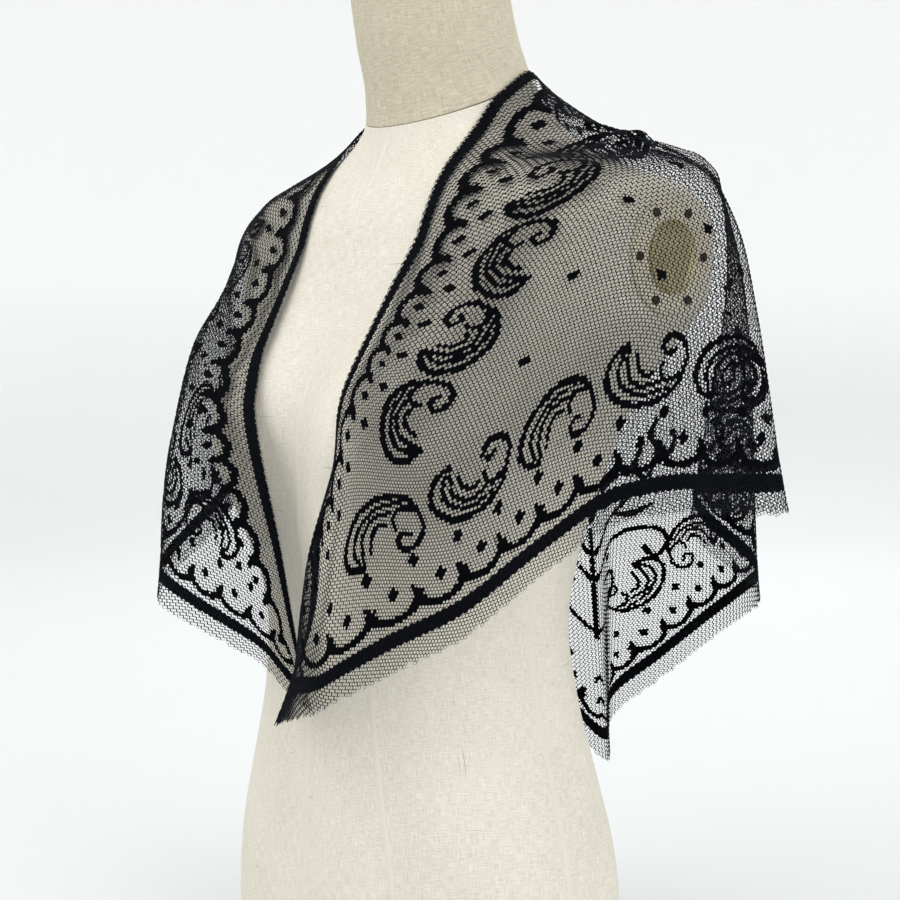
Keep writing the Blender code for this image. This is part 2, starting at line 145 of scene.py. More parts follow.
MIDDLE = (0, 0, 0.40)
soft_panel("key_panel", (-0.5, -1.9, 1.9), MIDDLE, 1.5, 13, (1.0, 0.99, 0.97))
soft_panel("fill_panel", (2.6, -0.2, 1.2), MIDDLE, 1.6, 18, (0.98, 0.99, 1.0))
soft_panel("rim_panel", (-1.6, 2.2, 2.0), MIDDLE, 1.6, 18, (1.0, 1.0, 1.0))
soft_panel("top_panel", (0.0, 0.0, 3.2), MIDDLE, 2.0, 14, (1.0, 1.0, 1.0))
world = bpy.data.worlds.new("white_room")
world.use_nodes = True
air = world.node_tree.nodes["Background"].inputs
air["Color"].default_value = (0.985, 1.0, 0.995, 1)
air["Strength"].default_value = 1.04
scene.world = world
scene.view_settings.view_transform = "Standard"

# %% [markdown]
# ## Shader sums as plain Python
#
# A woven or knitted finish is mostly sums on places in the cloth. Wire lets a socket take part in a
# sum, and Bench adds every other node by its type, its settings and its inputs.

# %% Wire and Bench
OBJECT_PLACE = 3  # the output of Texture Coordinate that is the place in the object


class Wire:
    """An output socket that can be used in sums: each operator adds one Math node."""

    def __init__(self, bench, socket):
        self.bench = bench
        self.socket = socket

    def math(self, operation, *values):
        return self.bench.node("ShaderNodeMath", {"operation": operation}, dict(enumerate(values)))

    def __add__(self, other):
        return self.math("ADD", self, other)

    def __radd__(self, other):
        return self.math("ADD", other, self)

    def __sub__(self, other):
        return self.math("SUBTRACT", self, other)

    def __rsub__(self, other):
        return self.math("SUBTRACT", other, self)

    def __mul__(self, other):
        return self.math("MULTIPLY", self, other)

    def __rmul__(self, other):
        return self.math("MULTIPLY", other, self)

    def larger(self, other):
        return self.math("MAXIMUM", self, other)


class Bench:
    """The nodes of one material."""

    def __init__(self, name, metallic=0.0, sheen=0.0, gloss=0.5):
        self.material = bpy.data.materials.new(name)
        self.material.use_nodes = True
        self.tree = self.material.node_tree
        self.shader = self.tree.nodes["Principled BSDF"]
        values = {"Metallic": metallic, "Sheen Weight": sheen, "Specular IOR Level": gloss}
        for key, value in values.items():
            self.shader.inputs[key].default_value = value

    def node(self, kind, settings=None, inputs=None, output=0):
        """Adds a node, sets it, fills or links its inputs, and returns one output as a Wire."""
        made = self.tree.nodes.new(kind)
        for key, value in (settings or {}).items():
            setattr(made, key, value)
        for key, value in (inputs or {}).items():
            if isinstance(value, Wire):
                self.tree.links.new(value.socket, made.inputs[key])
            else:
                made.inputs[key].default_value = value
        return Wire(self, made.outputs[output])

    def feed(self, socket, wire):
        """Links a wire to one of the Principled shader's sockets."""
        self.tree.links.new(wire.socket, self.shader.inputs[socket])

    def noise(self, vector, scale, detail=2.0):
        """Soft noise from 0 to 1 at a vector."""
        return self.node("ShaderNodeTexNoise", None, {"Vector": vector, "Scale": scale, "Detail": detail})

    def stretched(self, vector, scale):
        """The vector with each of its parts multiplied."""
        return self.node("ShaderNodeMapping", None, {"Vector": vector, "Scale": scale})

    def blend(self, factor, first, second):
        """Colour that runs from first to second."""
        return self.node("ShaderNodeMix", {"data_type": "RGBA"}, {0: factor, 6: first, 7: second}, 2)

    def rough(self, wire, low, high):
        """Feeds a roughness that goes from low to high as the wire goes from 0 to 1."""
        self.feed("Roughness", low + (high - low) * wire)

    def bump(self, height, distance, strength):
        """Feeds a height, in metres once multiplied by distance, to the shader's normal."""
        values = {"Height": height, "Distance": distance, "Strength": strength}
        self.feed("Normal", self.node("ShaderNodeBump", None, values))

# %% Floor
LEVEL, ROUND, WALL_TOP = 260, 300, 700
SPOKES = 96
WALL_FADE = 1.7  # change of tone for each metre up the wall, painted to even out the light: the floor, which the panels light most, is darker
CLOUD = 0.6, 0.1  # how often its unevenness changes, and how much
FLOOR_TONE = (0.72, 0.735, 0.738, 1)
WALL_TONE = (0.965, 0.968, 0.964, 1)


def dish_profile(steps=40):
    """Radius and height in centimetres: level to LEVEL, a quarter round, then straight up."""
    turn = np.linspace(0, math.pi / 2, steps)
    radius = np.concatenate([[0.1, LEVEL / 2], LEVEL + ROUND * np.sin(turn), [LEVEL + ROUND]])
    height = np.concatenate([[0, 0], ROUND * (1 - np.cos(turn)), [WALL_TOP]])
    return radius, height


paper = Bench("pale_paper")
paper.shader.inputs["Roughness"].default_value = 0.9
place = paper.node("ShaderNodeTexCoord", None, None, OBJECT_PLACE)
up_the_wall = paper.node("ShaderNodeSeparateXYZ", None, {"Vector": place}, 2)
# Painted light: the paper is darker on the floor, which the panels light most, and lighter up the wall,
# which they light less, so that the backdrop looks even.
rise = up_the_wall * WALL_FADE + paper.noise(place, CLOUD[0]) * CLOUD[1]
paper.feed("Base Color", paper.blend(rise, FLOOR_TONE, WALL_TONE))
radius, height = dish_profile()
spoke = turns(SPOKES)[:, None]
dish = np.stack([radius * np.cos(spoke), radius * np.sin(spoke), height + 0 * spoke], -1)
faces = grid_faces(SPOKES, len(radius), wrap=True)
floor = new_piece("floor_dish", dish.reshape(-1, 3), [faces], paper.material)
print("floor reaches", round(float(radius.max()) * CM, 2), "m out")

# %% [markdown]
# ## The form under the cloth
#
# A dressmaker's form is a padded body, and each level of it is one rounded oval: a super-ellipse
# with its own half width, depth before, depth behind and roundness. The tables are the ones the CAD
# model was lofted from. Read at any height by a smooth spline, they give a body without facets, and
# the same formula tells the cloth where the body is.

# %% The form's tables, in centimetres
# height, half width, depth before and behind the middle line, y of that line, roundness
FORM_SECTIONS = np.array([
    (0.0, 15.9, 10.4, 11.4, 0.0, 2.2),  # foot
    (5.0, 16.2, 10.4, 11.6, 0.0, 2.2),  # hip
    (10.0, 15.7, 10.2, 11.2, 0.0, 2.2),
    (15.0, 14.3, 10.1, 10.3, 0.1, 2.15),
    (20.0, 12.8, 9.9, 9.5, 0.1, 2.1),
    (26.0, 11.9, 9.7, 9.2, 0.0, 2.1),  # waist
    (31.0, 12.7, 10.0, 9.6, 0.3, 2.1),
    (36.0, 14.0, 10.0, 10.0, 1.0, 2.2),
    (41.0, 15.8, 10.8, 9.8, 2.2, 2.35),
    (45.0, 18.3, 11.2, 9.3, 3.6, 2.5),  # under the arm stubs
    (47.5, 20.1, 11.6, 8.8, 4.6, 2.7),
    (51.0, 20.6, 11.6, 7.9, 5.4, 2.8),
    (54.0, 20.2, 10.9, 7.0, 5.5, 2.8),
    (55.6, 18.7, 10.2, 6.3, 5.5, 2.6),
    (56.8, 15.2, 9.4, 5.8, 5.4, 2.4),  # shoulder line
    (58.2, 11.2, 8.5, 5.4, 5.2, 2.1),
    (60.0, 8.3, 7.6, 5.3, 4.9, 2.0),
    (62.5, 6.7, 6.4, 5.4, 3.5, 2.0),  # root of the neck
    (66.0, 5.9, 5.8, 5.7, 1.9, 2.0),
    (70.0, 5.6, 5.6, 5.7, 0.9, 2.0),
    (73.0, 5.5, 5.5, 5.6, 0.3, 2.0),  # flat top of the neck
])
BUST = {"out": 8.0, "height": 38.5, "reach": 5.3, "spread": 4.3, "rise": 5.2, "fade": 0.35}
ARM_FACE = 19.6  # the arm stubs are cut flat at this distance from the middle
NECK_SEAM = {"front": (-2.3, 60.3), "slope": 0.42, "gap": 0.03}
TOP = FORM_SECTIONS[-1, 0]

# %% Curves
def hermite(t, start, end, start_slope, end_slope):
    """Cubic from start to end for t from 0 to 1, with the slopes given at both ends."""
    return ((2 * t**3 - 3 * t**2 + 1) * start + (t**3 - 2 * t**2 + t) * start_slope
            + (3 * t**2 - 2 * t**3) * end + (t**3 - t**2) * end_slope)


def spline(knots, values, at):
    """Cubic curve through values at the knots, each slope taken from the two neighbours."""
    at = np.clip(at, knots[0], knots[-1])
    slopes = np.gradient(values, knots, axis=0)
    left = np.clip(np.searchsorted(knots, at, side="right") - 1, 0, len(knots) - 2)
    span = (knots[left + 1] - knots[left])[..., None]
    t = (at - knots[left])[..., None] / span
    return hermite(t, values[left], values[left + 1], slopes[left] * span, slopes[left + 1] * span)

# %% The body's surface
def bust_swell(x, z, half_width):
    """Forward swell of the two breasts: a bell each side, fading out at the form's sides."""
    side = np.exp(-((np.abs(x) - BUST["out"]) / BUST["spread"]) ** 2 / 2)
    other = np.exp(-((np.abs(x) + BUST["out"]) / BUST["spread"]) ** 2 / 2)
    level = np.exp(-((z - BUST["height"]) / BUST["rise"]) ** 2 / 2)
    fade = np.clip(1 - (x / half_width) ** 2, 0, 1) ** BUST["fade"]
    return BUST["reach"] * (side + other) * level * fade


def form_section(z):
    """Half width, front depth, back depth, middle line and roundness of the form at height z."""
    return np.moveaxis(spline(FORM_SECTIONS[:, 0], FORM_SECTIONS[:, 1:], z), -1, 0)


def form_point(turn, z):
    """Point of the form's surface at a turn (0 in front, a quarter turn at the wearer's left)."""
    half, front, back, middle, power = form_section(z)
    x = half * np.sign(np.sin(turn)) * np.abs(np.sin(turn)) ** (2 / power)
    depth = np.abs(np.cos(turn)) ** (2 / power)
    ahead = middle - front * depth - bust_swell(x, z, half)
    y = np.where(np.cos(turn) > 0, ahead, middle + back * depth)
    return np.stack([np.clip(x, -ARM_FACE, ARM_FACE), y, z], axis=-1)


def form_ratio(points):
    """Under zero inside the form and over zero outside it, as the section's own radius."""
    x, y, z = np.moveaxis(points, -1, 0)
    half, front, back, middle, power = form_section(z)
    depth = y - middle
    depth = np.where(depth < 0, np.minimum(depth + bust_swell(x, z, half), -1e-6), depth)
    reach = np.where(depth < 0, front, back)
    return ((np.abs(x) / half) ** power + (np.abs(depth) / reach) ** power) ** (1 / power) - 1


def seam_height(turn, rounds=12):
    """Height of the neck seam: where the body meets a plane that rises from front to back."""
    front_y, front_z = NECK_SEAM["front"]
    z = front_z + 0 * turn
    for _ in range(rounds):
        z = 0.5 * z + 0.5 * (front_z + NECK_SEAM["slope"] * (form_point(turn, z)[..., 1] - front_y))
    return z

# %% [markdown]
# Two covers share the surface: the body cover runs from the foot to the neck seam and the neck
# cover from there to the flat top. Each ends in a small rounded turn and a flat lid, so that both
# are closed bodies and no raw edge shows. Columns at equal steps of the oval's own angle crowd by
# themselves where it bends sharply.

# %% Covers of the form
COVER_SPAN = 120.0  # centimetres of cover for the whole of its map
COVER_EDGE = 0.06  # radius of the turn at both ends of a cover
LID_RINGS = (0.97, 0.8, 0.5, 0.2, 0.01)  # rings of a lid, as shares of its size


def cover_rings(turn, low, high, rows, edge, steps=4):
    """Rings from low to high: the surface's own, and at each end a rounded turn of radius edge
    and then rings drawn in to the middle."""
    share = np.linspace(0, 1, rows)[:, None]
    body = form_point(turn[None], (low + edge) * (1 - share) + (high - edge) * share)
    bends = np.linspace(0, math.pi / 2, steps + 1)[1:]

    def cap(ring, level):
        middle = np.array([0, ring[:, 1].mean(), 0])
        inward = unit((middle - ring) * [1, 1, 0])
        flats = [ring * [1, 1, 0] + inward * edge * (1 - math.cos(bend)) for bend in bends]
        lifts = [ring[:, 2] + (level - ring[:, 2]) * math.sin(bend) for bend in bends]
        flats += [middle + (flats[-1] - middle) * size for size in LID_RINGS]
        lifts += [level] * len(LID_RINGS)
        return np.array([flat + np.outer(lift, [0, 0, 1]) for flat, lift in zip(flats, lifts)])

    return np.concatenate([cap(body[0], low)[::-1], body, cap(body[-1], high)])


def build_cover(name, low, high, rows, columns, finish):
    """Closed cover between two heights, mapped by the way round and the way up it."""
    turn = turns(columns) + math.pi
    rings = cover_rings(turn, low(turn), high(turn), rows, COVER_EDGE)
    faces = grid_faces(columns, len(rings), wrap=True)
    points = np.moveaxis(rings, 0, 1)
    around = max((run_length(np.vstack([ring, ring[:1]])) for ring in rings), key=lambda way: way[-1])
    heights = run_length(points[0])
    column, row = np.divmod(faces, len(rings))
    column[:, 1:3] = np.where(column[:, 1:3] == 0, columns, column[:, 1:3])
    uv = np.stack([around[column], heights[row]], -1).reshape(-1, 2)
    foot = np.arange(columns)[::-1] * len(rings)
    top = foot[::-1] + len(rings) - 1
    lids = np.concatenate([foot, top])
    lid_uv = np.stack([around[lids // len(rings)], heights[lids % len(rings)]], -1)
    uv = np.concatenate([uv, lid_uv]) / COVER_SPAN
    return new_piece(name, points.reshape(-1, 3), [faces, foot[None], top[None]], finish, uv)

# %% [markdown]
# ## How the shawl hangs
#
# A shawl hung by hand can be told by its ribs: lines on the cloth from the neck edge, over the
# place where the cloth leaves the body, to the hem. These are the CAD model's ribs. A spline
# carries them round the body, and wherever the cloth would sink into the form it is moved straight
# out until it rests on it. Each rib also says where on the flat triangle it lies, so any stitch of
# the flat cut can be found on the hanging cloth.

# %% The cut and the ribs, in centimetres
NECK_EDGE = 122.0  # the triangle's long edge, from front corner to front corner
HALF_EDGE = NECK_EDGE / 2
BACK_DEPTH = 54.0  # from the middle of that edge to the back corner
HEM_SIDE = math.hypot(HALF_EDGE, BACK_DEPTH)
REST_GAP = 0.22  # from the form to the yarn, where the cloth rests
CREST_LEAN = 0.4  # at its crest a rib keeps this share of the slope it had over the form
END_LEAN = 0.1  # how far it leans past its own slope at neck and hem
NEAR = 0.2  # points with a form_ratio under this are looked at for touching

# From the right front corner round the back to the left front corner.
# along: distance on the neck edge from the middle of the back, the wearer's left counted plus.
# neck, crest, hem: x, y, z of the rib's points. sag: how far it dips between neck and crest.
# hem_along: distance on the hem from the back corner, plus and minus in the same way.
RIBS = np.array([
    # along, neck, crest, sag, hem, hem_along
    (-58.0, 1.0, -10.7, 21.2, 1.2, -10.7, 20.8, 0.0, 1.8, -10.6, 20.0, -79.9),
    (-52.0, 0.5, -11.4, 26.4, 0.3, -11.6, 24.9, 0.0, -0.2, -11.2, 20.9, -75.0),
    (-46.5, 0.2, -12.3, 32.0, -1.0, -12.9, 29.0, 0.0, -2.2, -12.1, 22.9, -71.5),
    (-41.5, -0.9, -12.8, 37.2, -3.4, -14.0, 33.6, 0.0, -5.0, -13.2, 24.1, -68.0),
    (-37.5, -2.6, -12.2, 40.5, -6.6, -14.2, 37.5, 0.0, -8.5, -14.3, 25.4, -64.5),
    (-35.2, -3.5, -11.4, 42.2, -9.4, -13.5, 40.4, 0.0, -11.4, -14.7, 26.4, -61.5),
    (-33.0, -4.4, -10.3, 44.4, -11.2, -12.2, 42.2, 0.0, -12.5, -13.5, 27.6, -59.5),
    (-30.5, -4.8, -9.1, 46.4, -12.6, -10.8, 44.2, 0.0, -11.6, -11.2, 30.0, -56.5),
    (-28.0, -5.0, -7.9, 48.6, -14.0, -9.0, 46.0, 0.0, -12.0, -9.2, 31.2, -53.5),
    (-24.0, -5.0, -6.0, 52.6, -15.8, -6.0, 48.8, 0.0, -13.8, -7.0, 32.2, -50.0),
    (-19.0, -5.3, -3.7, 57.0, -18.4, -2.6, 52.8, 0.3, -17.2, -3.2, 33.6, -45.0),
    (-14.5, -6.2, -0.8, 59.9, -19.6, 2.2, 55.4, 0.8, -20.4, 0.2, 34.5, -39.5),
    (-11.0, -6.9, 2.4, 61.9, -19.8, 8.0, 55.4, 1.0, -21.8, 6.5, 34.0, -33.5),
    (-8.0, -6.4, 5.2, 62.9, -17.2, 11.8, 53.4, 0.6, -20.5, 12.5, 31.0, -27.0),
    (-5.0, -4.6, 7.6, 62.7, -12.0, 13.4, 49.8, 0.2, -16.0, 17.0, 27.0, -19.5),
    (-2.8, -2.7, 8.9, 62.4, -7.2, 14.5, 47.8, -0.3, -10.0, 18.3, 22.0, -12.0),
    (-1.2, -1.2, 9.2, 62.3, -3.5, 14.6, 47.3, -0.5, -4.5, 16.8, 16.8, -5.5),
    (0.0, 0.0, 9.3, 62.2, 0.0, 14.6, 47.0, -0.5, 0.0, 18.8, 12.0, 0.0),
    (1.2, 1.2, 9.2, 62.3, 3.5, 14.6, 47.3, -0.5, 3.5, 16.0, 16.3, 4.5),
    (2.6, 2.5, 9.0, 62.5, 6.8, 14.5, 47.8, -0.3, 7.0, 17.6, 19.6, 8.6),
    (4.2, 3.9, 8.2, 62.8, 10.0, 13.8, 48.8, 0.5, 11.0, 18.3, 22.8, 13.0),
    (6.0, 5.2, 6.9, 63.4, 13.5, 12.8, 50.6, 1.0, 15.5, 17.2, 25.4, 17.4),
    (7.6, 6.0, 5.4, 63.9, 16.6, 12.2, 53.2, 1.2, 18.8, 15.2, 27.0, 21.0),
    (8.8, 6.4, 4.3, 63.9, 18.4, 11.2, 54.6, 1.2, 19.2, 13.4, 28.6, 23.0),
    (10.0, 6.7, 3.1, 63.3, 19.3, 10.0, 55.6, 1.2, 17.6, 10.8, 31.0, 26.0),
    (11.2, 6.8, 2.2, 62.7, 19.8, 9.0, 56.0, 1.2, 18.0, 8.9, 33.0, 28.0),
    (11.7, 6.7, 1.7, 62.3, 19.9, 8.7, 56.1, 1.2, 19.6, 9.3, 33.4, 30.0),
    (12.6, 6.6, 1.0, 61.7, 20.0, 8.2, 56.2, 1.1, 22.4, 12.6, 33.5, 33.2),
    (14.0, 6.5, 0.0, 60.4, 19.9, 7.2, 56.4, 1.0, 23.5, 12.3, 33.8, 35.2),
    (16.0, 6.5, -1.2, 59.0, 19.4, 4.4, 56.2, 0.8, 22.8, 8.0, 34.0, 39.0),
    (18.8, 6.9, -3.0, 57.2, 19.1, 0.0, 55.2, 0.3, 21.6, 3.5, 34.1, 43.5),
    (21.7, 7.3, -4.6, 55.0, 17.2, -3.6, 51.6, 0.0, 20.0, -0.5, 33.4, 47.5),
    (25.2, 7.2, -6.3, 51.9, 14.2, -6.6, 47.4, 0.0, 18.0, -4.6, 30.5, 52.0),
    (29.4, 6.6, -8.3, 48.1, 11.0, -10.2, 43.4, 0.0, 15.5, -8.5, 26.8, 56.5),
    (35.2, 6.8, -11.4, 43.2, 9.6, -13.2, 40.0, 0.0, 12.5, -11.8, 24.5, 61.0),
    (38.0, 7.6, -12.9, 40.8, 9.2, -14.0, 38.0, 0.0, 9.5, -14.0, 22.5, 65.0),
    (41.0, 8.4, -13.6, 38.3, 8.2, -14.2, 35.0, 0.0, 7.0, -14.3, 21.2, 68.0),
    (46.5, 7.2, -13.8, 34.2, 6.0, -14.2, 31.0, 0.0, 4.0, -13.6, 20.3, 71.5),
    (52.5, 4.8, -12.7, 27.5, 3.6, -12.9, 25.5, 0.0, 1.0, -12.6, 19.4, 75.5),
    (60.8, 0.0, -11.7, 20.8, -0.6, -11.6, 20.1, 0.0, -2.3, -11.3, 18.4, 79.9),
])

# %% The hanging surface
def off_form(points, step=0.05):
    """Distance of points from the form, and the unit way out: the ratio over its own slope."""
    slope = np.stack([form_ratio(points + step * axis) - form_ratio(points - step * axis)
                      for axis in np.eye(3)], axis=-1) / (2 * step)
    steep = np.linalg.norm(slope, axis=-1, keepdims=True)
    return form_ratio(points)[..., None] / steep, slope / steep


def rest_on_form(points, gap, rounds=6):
    """Moves points that are nearer than gap to the form straight out until they are gap away."""
    points = points.copy()
    near = form_ratio(points) < NEAR
    close = points[near]
    for _ in range(rounds):
        distance, out = off_form(close)
        close += np.clip(gap - distance, 0, 2) * out
    points[near] = close
    return points


def rib_columns(rib):
    """The ribs' table read at rib numbers between its rows: along, neck, crest, sag, hem and
    hem_along."""
    row = spline(np.arange(len(RIBS), dtype=float), RIBS, rib)
    return row[:, 0], row[:, 1:4], row[:, 4:7], row[:, 7], row[:, 8:11], row[:, 11]


def hang(rib, down):
    """Points of the shawl for rib numbers and for down, from 0 at the neck edge to 1 at the hem:
    neck to crest and crest to hem are two cubics that share the crest's slope."""
    _, neck, crest, sag, hem, _ = rib_columns(rib)
    over = np.linalg.norm(crest - neck, axis=1)
    below = np.linalg.norm(hem - crest, axis=1)
    share = (over / (over + below))[:, None, None]
    neck, crest, hem = neck[:, None], crest[:, None], hem[:, None]
    over_slope = (crest - neck) / share
    hang_slope = (hem - crest) / (1 - share)
    crest_slope = CREST_LEAN * over_slope + (1 - CREST_LEAN) * hang_slope
    first_slope = (1 + END_LEAN) * over_slope - END_LEAN * crest_slope
    last_slope = (1 + END_LEAN) * hang_slope - END_LEAN * crest_slope
    down = down[..., None]
    t_over = np.clip(down / share, 0, 1)
    t_hang = np.clip((down - share) / (1 - share), 0, 1)
    upper = hermite(t_over, neck, crest, first_slope * share, crest_slope * share)
    upper[..., 2] -= sag[:, None] * np.sin(math.pi * t_over[..., 0])
    lower = hermite(t_hang, crest, hem, crest_slope * (1 - share), last_slope * (1 - share))
    return np.where(down < share, upper, lower)


def flat_ends(rib):
    """Where a rib starts on the flat neck edge and where it ends on the flat hem."""
    along, *_, hem_along = rib_columns(rib)
    end = np.stack([HALF_EDGE * hem_along, BACK_DEPTH * (HEM_SIDE - np.abs(hem_along))], -1)
    return np.stack([along, 0 * along], -1), end / HEM_SIDE

# %% [markdown]
# The ribs give the large folds. The small ones come from handling: pulls from the shoulder to the
# hem, puckers at the nape and soft dents over the bust. Each is a trough or a ridge along a line on
# the flat cut, and no two have the same length, width and depth.

# %% Creases: start and end on the flat cut, half width, depth in centimetres (plus stands out)
CREASES = [
    # x1     y1     x2     y2    width  depth
    (20.0, 4.0, 46.0, 10.5, 1.3, 0.22),  # left front, from the shoulder to the front hem
    (17.0, 8.0, 38.0, 17.5, 1.7, -0.25),
    (13.5, 12.0, 30.0, 24.0, 1.5, 0.28),
    (10.5, 3.0, 15.5, 20.0, 1.1, -0.22),
    (12.3, 1.5, 13.2, 17.0, 0.6, 0.38),  # gathers on the left shoulder
    (14.6, 2.0, 15.9, 18.0, 0.7, 0.44),
    (19.5, 6.0, 8.5, 9.0, 0.55, 0.42),
    (17.5, 11.5, 11.5, 13.5, 0.7, 0.16),
    (6.5, 2.0, 10.0, 11.0, 0.8, 0.20),  # nape, left
    (3.0, 1.5, 4.5, 9.5, 0.9, -0.18),
    (-1.5, 2.5, -2.0, 14.0, 1.2, 0.20),
    (-6.0, 1.5, -9.5, 10.0, 0.8, -0.18),
    (4.0, 22.0, 6.5, 44.0, 1.6, 0.30),  # back
    (-5.5, 20.0, -8.0, 41.0, 1.9, -0.30),
    (-14.0, 6.0, -19.5, 30.0, 1.7, 0.26),
    (-20.0, 7.0, -9.5, 10.5, 0.8, 0.30),  # right shoulder
    (-12.0, 2.0, -13.5, 15.0, 0.7, 0.26),
    (-22.0, 3.0, -35.0, 19.0, 1.3, -0.22),  # right front
    (-27.0, 2.5, -44.0, 11.5, 1.2, 0.22),
    (-38.0, 2.0, -47.0, 7.5, 0.9, -0.16),
    (40.0, 2.5, 50.0, 6.5, 0.9, -0.16),
]


def crease_height(flat):
    """Lift of the cloth at points of the cut: each crease is a bell across and a half sine along."""
    lift = np.zeros(flat.shape[:-1])
    for x1, y1, x2, y2, width, depth in CREASES:
        line = np.array([x2 - x1, y2 - y1])
        length = np.linalg.norm(line)
        offset = flat - [x1, y1]
        along = (offset @ line) / length**2
        across = (offset[..., 0] * line[1] - offset[..., 1] * line[0]) / length
        lift += depth * np.sin(math.pi * np.clip(along, 0, 1)) * np.exp(-(across / width) ** 2)
    return lift

# %% The draped sheet on a fine grid
def grid_normals(points):
    """Unit normals of a grid of points, away from the form: the two slopes' cross product."""
    return unit(np.cross(np.gradient(points, axis=0), np.gradient(points, axis=1)))


RIB_STEPS = 16
ROW_STEPS = 220
ribs = np.linspace(0, len(RIBS) - 1, (len(RIBS) - 1) * RIB_STEPS + 1)
downs = np.linspace(0, 1, ROW_STEPS + 1)
starts, ends = flat_ends(ribs)
flat_grid = starts[:, None] * (1 - downs[:, None]) + ends[:, None] * downs[:, None]
sheet = rest_on_form(hang(ribs, np.tile(downs, (len(ribs), 1))), REST_GAP)
sheet += crease_height(flat_grid)[..., None] * grid_normals(sheet)
sheet = rest_on_form(sheet, REST_GAP, rounds=3)
sheet_normals = grid_normals(sheet)
print("sheet of", sheet.shape[:2], "points, up to", sheet.max((0, 1)).round(1))

# %% From the flat cut to the hanging cloth
def locate(flat, rounds=18):
    """Rib number and share of the way down for points of the cut: the rib is halved in on, by the
    side of a rib's straight line that the point lies on."""
    low = np.zeros(len(flat))
    high = np.full(len(flat), len(RIBS) - 1.0)
    for _ in range(rounds):
        middle = (low + high) / 2
        start, end = flat_ends(middle)
        offset = flat - start
        line = end - start
        beyond = offset[:, 0] * line[:, 1] > offset[:, 1] * line[:, 0]
        low = np.where(beyond, middle, low)
        high = np.where(beyond, high, middle)
    rib = (low + high) / 2
    return rib, flat[:, 1] / flat_ends(rib)[1][:, 1]


def read_grid(grid, rib, down):
    """A grid's value at rib numbers and shares of the way down, mixed from its four neighbours."""
    shy = 0.001  # keeps a point on the last line inside the last square
    column = np.clip(rib * RIB_STEPS, 0, len(ribs) - 1 - shy)
    row = np.clip(down * ROW_STEPS, 0, ROW_STEPS - shy)
    i, j = column.astype(int), row.astype(int)
    s, t = (column - i)[:, None], (row - j)[:, None]
    return ((grid[i, j] * (1 - s) + grid[i + 1, j] * s) * (1 - t)
            + (grid[i, j + 1] * (1 - s) + grid[i + 1, j + 1] * s) * t)


def drape(flat):
    """Where points of the flat cut hang, and the way out of the cloth there."""
    place = locate(flat)
    return read_grid(sheet, *place), read_grid(sheet_normals, *place)

# %% [markdown]
# ## The chart
#
# Lace of this kind is knitted from a chart: each mesh of the net is either left open or filled.
# The flowers here are the common stock of shawl borders: scallops, spots, curling plumes and a
# bunch of flowers in the back corner. The chart is drawn with lines and leaves in centimetres,
# and each mesh then asks how near the drawing comes to its middle.

# %% Border coordinates
# The repeats of a border are counted along the cloth as it hangs. Then they stay even where a rib
# gathers the cloth or draws it out.
HEM_WAY = np.array([HALF_EDGE, -BACK_DEPTH]) / HEM_SIDE
HEM_INWARD = np.array([HEM_WAY[1], -HEM_WAY[0]])
BORDER_MIDDLE = 6.0  # they are counted along a line this far in from the edge
BORDER_END = 1.2  # that stops this short of the corners


def depth_at(x):
    """Depth of the flat triangle at a distance from its middle."""
    return BACK_DEPTH * (1 - abs(x) / HALF_EDGE)


def border_lengths(side, neck_steps=120, hem_steps=160):
    """Places along the neck edge and along the hem, and the hung length out to each of them."""
    out = np.linspace(0, HALF_EDGE - BORDER_END, neck_steps)
    neck_line = np.stack([side * out, np.minimum(BORDER_MIDDLE, depth_at(out) / 2)], -1)
    up = np.linspace(0, HEM_SIDE - BORDER_END, hem_steps)
    inward = np.minimum(BORDER_MIDDLE, np.minimum(up, (HEM_SIDE - up) / 2))
    hem_line = ([0, BACK_DEPTH] + np.outer(up, HEM_WAY) + np.outer(inward, HEM_INWARD)) * [side, 1]
    return out, run_length(drape(neck_line)[0]), up, run_length(drape(hem_line)[0])


LENGTHS = {side: border_lengths(side) for side in (-1, 1)}
print("borders hang", {side: [round(v[-1], 1) for v in table[1::2]] for side, table in LENGTHS.items()})


def border_places(flat):
    """Points of the cut told three ways: distance from the middle and depth, the same as the neck
    border hangs, and along and in from the hem as the hem border hangs."""
    folded = np.stack([np.abs(flat[:, 0]), flat[:, 1]], -1)
    from_corner = folded - [0, BACK_DEPTH]
    up, inward = from_corner @ HEM_WAY, from_corner @ HEM_INWARD
    left = flat[:, 0] >= 0

    def hung(place, k):
        return np.where(left, *(np.interp(place, *LENGTHS[side][k:k + 2]) for side in (1, -1)))

    return folded, np.stack([hung(folded[:, 0], 0), flat[:, 1]], -1), np.stack([hung(up, 2), inward], -1)

# %% Drawing with a soft pen
def edge_ink(distance):
    """Ink at a distance outside an outline: a half on it, and from all to none over one mesh."""
    return np.clip(0.5 - distance / MESH, 0, 1)


def line_ink(at, points, widths, steps=40):
    """Ink of a smooth curve through the points, with widths from one end to the other."""
    knots = np.linspace(0, 1, len(points))
    share = np.linspace(0, 1, steps)
    curve = spline(knots, np.array(points, float), share)
    half = np.interp(share, np.linspace(0, 1, len(widths)), widths) / 2
    distance = np.linalg.norm(at[:, None] - curve[None], axis=-1) - half
    return edge_ink(distance.min(axis=1))


def spot_ink(at, size):
    """Ink of a diamond round the origin: the two distances add up to less than its size."""
    return edge_ink(np.abs(at).sum(-1) - size)


def repeat(at, pitch, middle, start=0.0):
    """Places within a repeat of a border, and the number of the repeat."""
    number = np.floor((at[:, 0] - start) / pitch)
    return np.stack([at[:, 0] - start - (number + 0.5) * pitch, at[:, 1] - middle], -1), number

# %% Scallops and spots along an edge
CUSP_CURL = [(0, -0.2), (0.05, 0.15), (0.3, 0.4)]


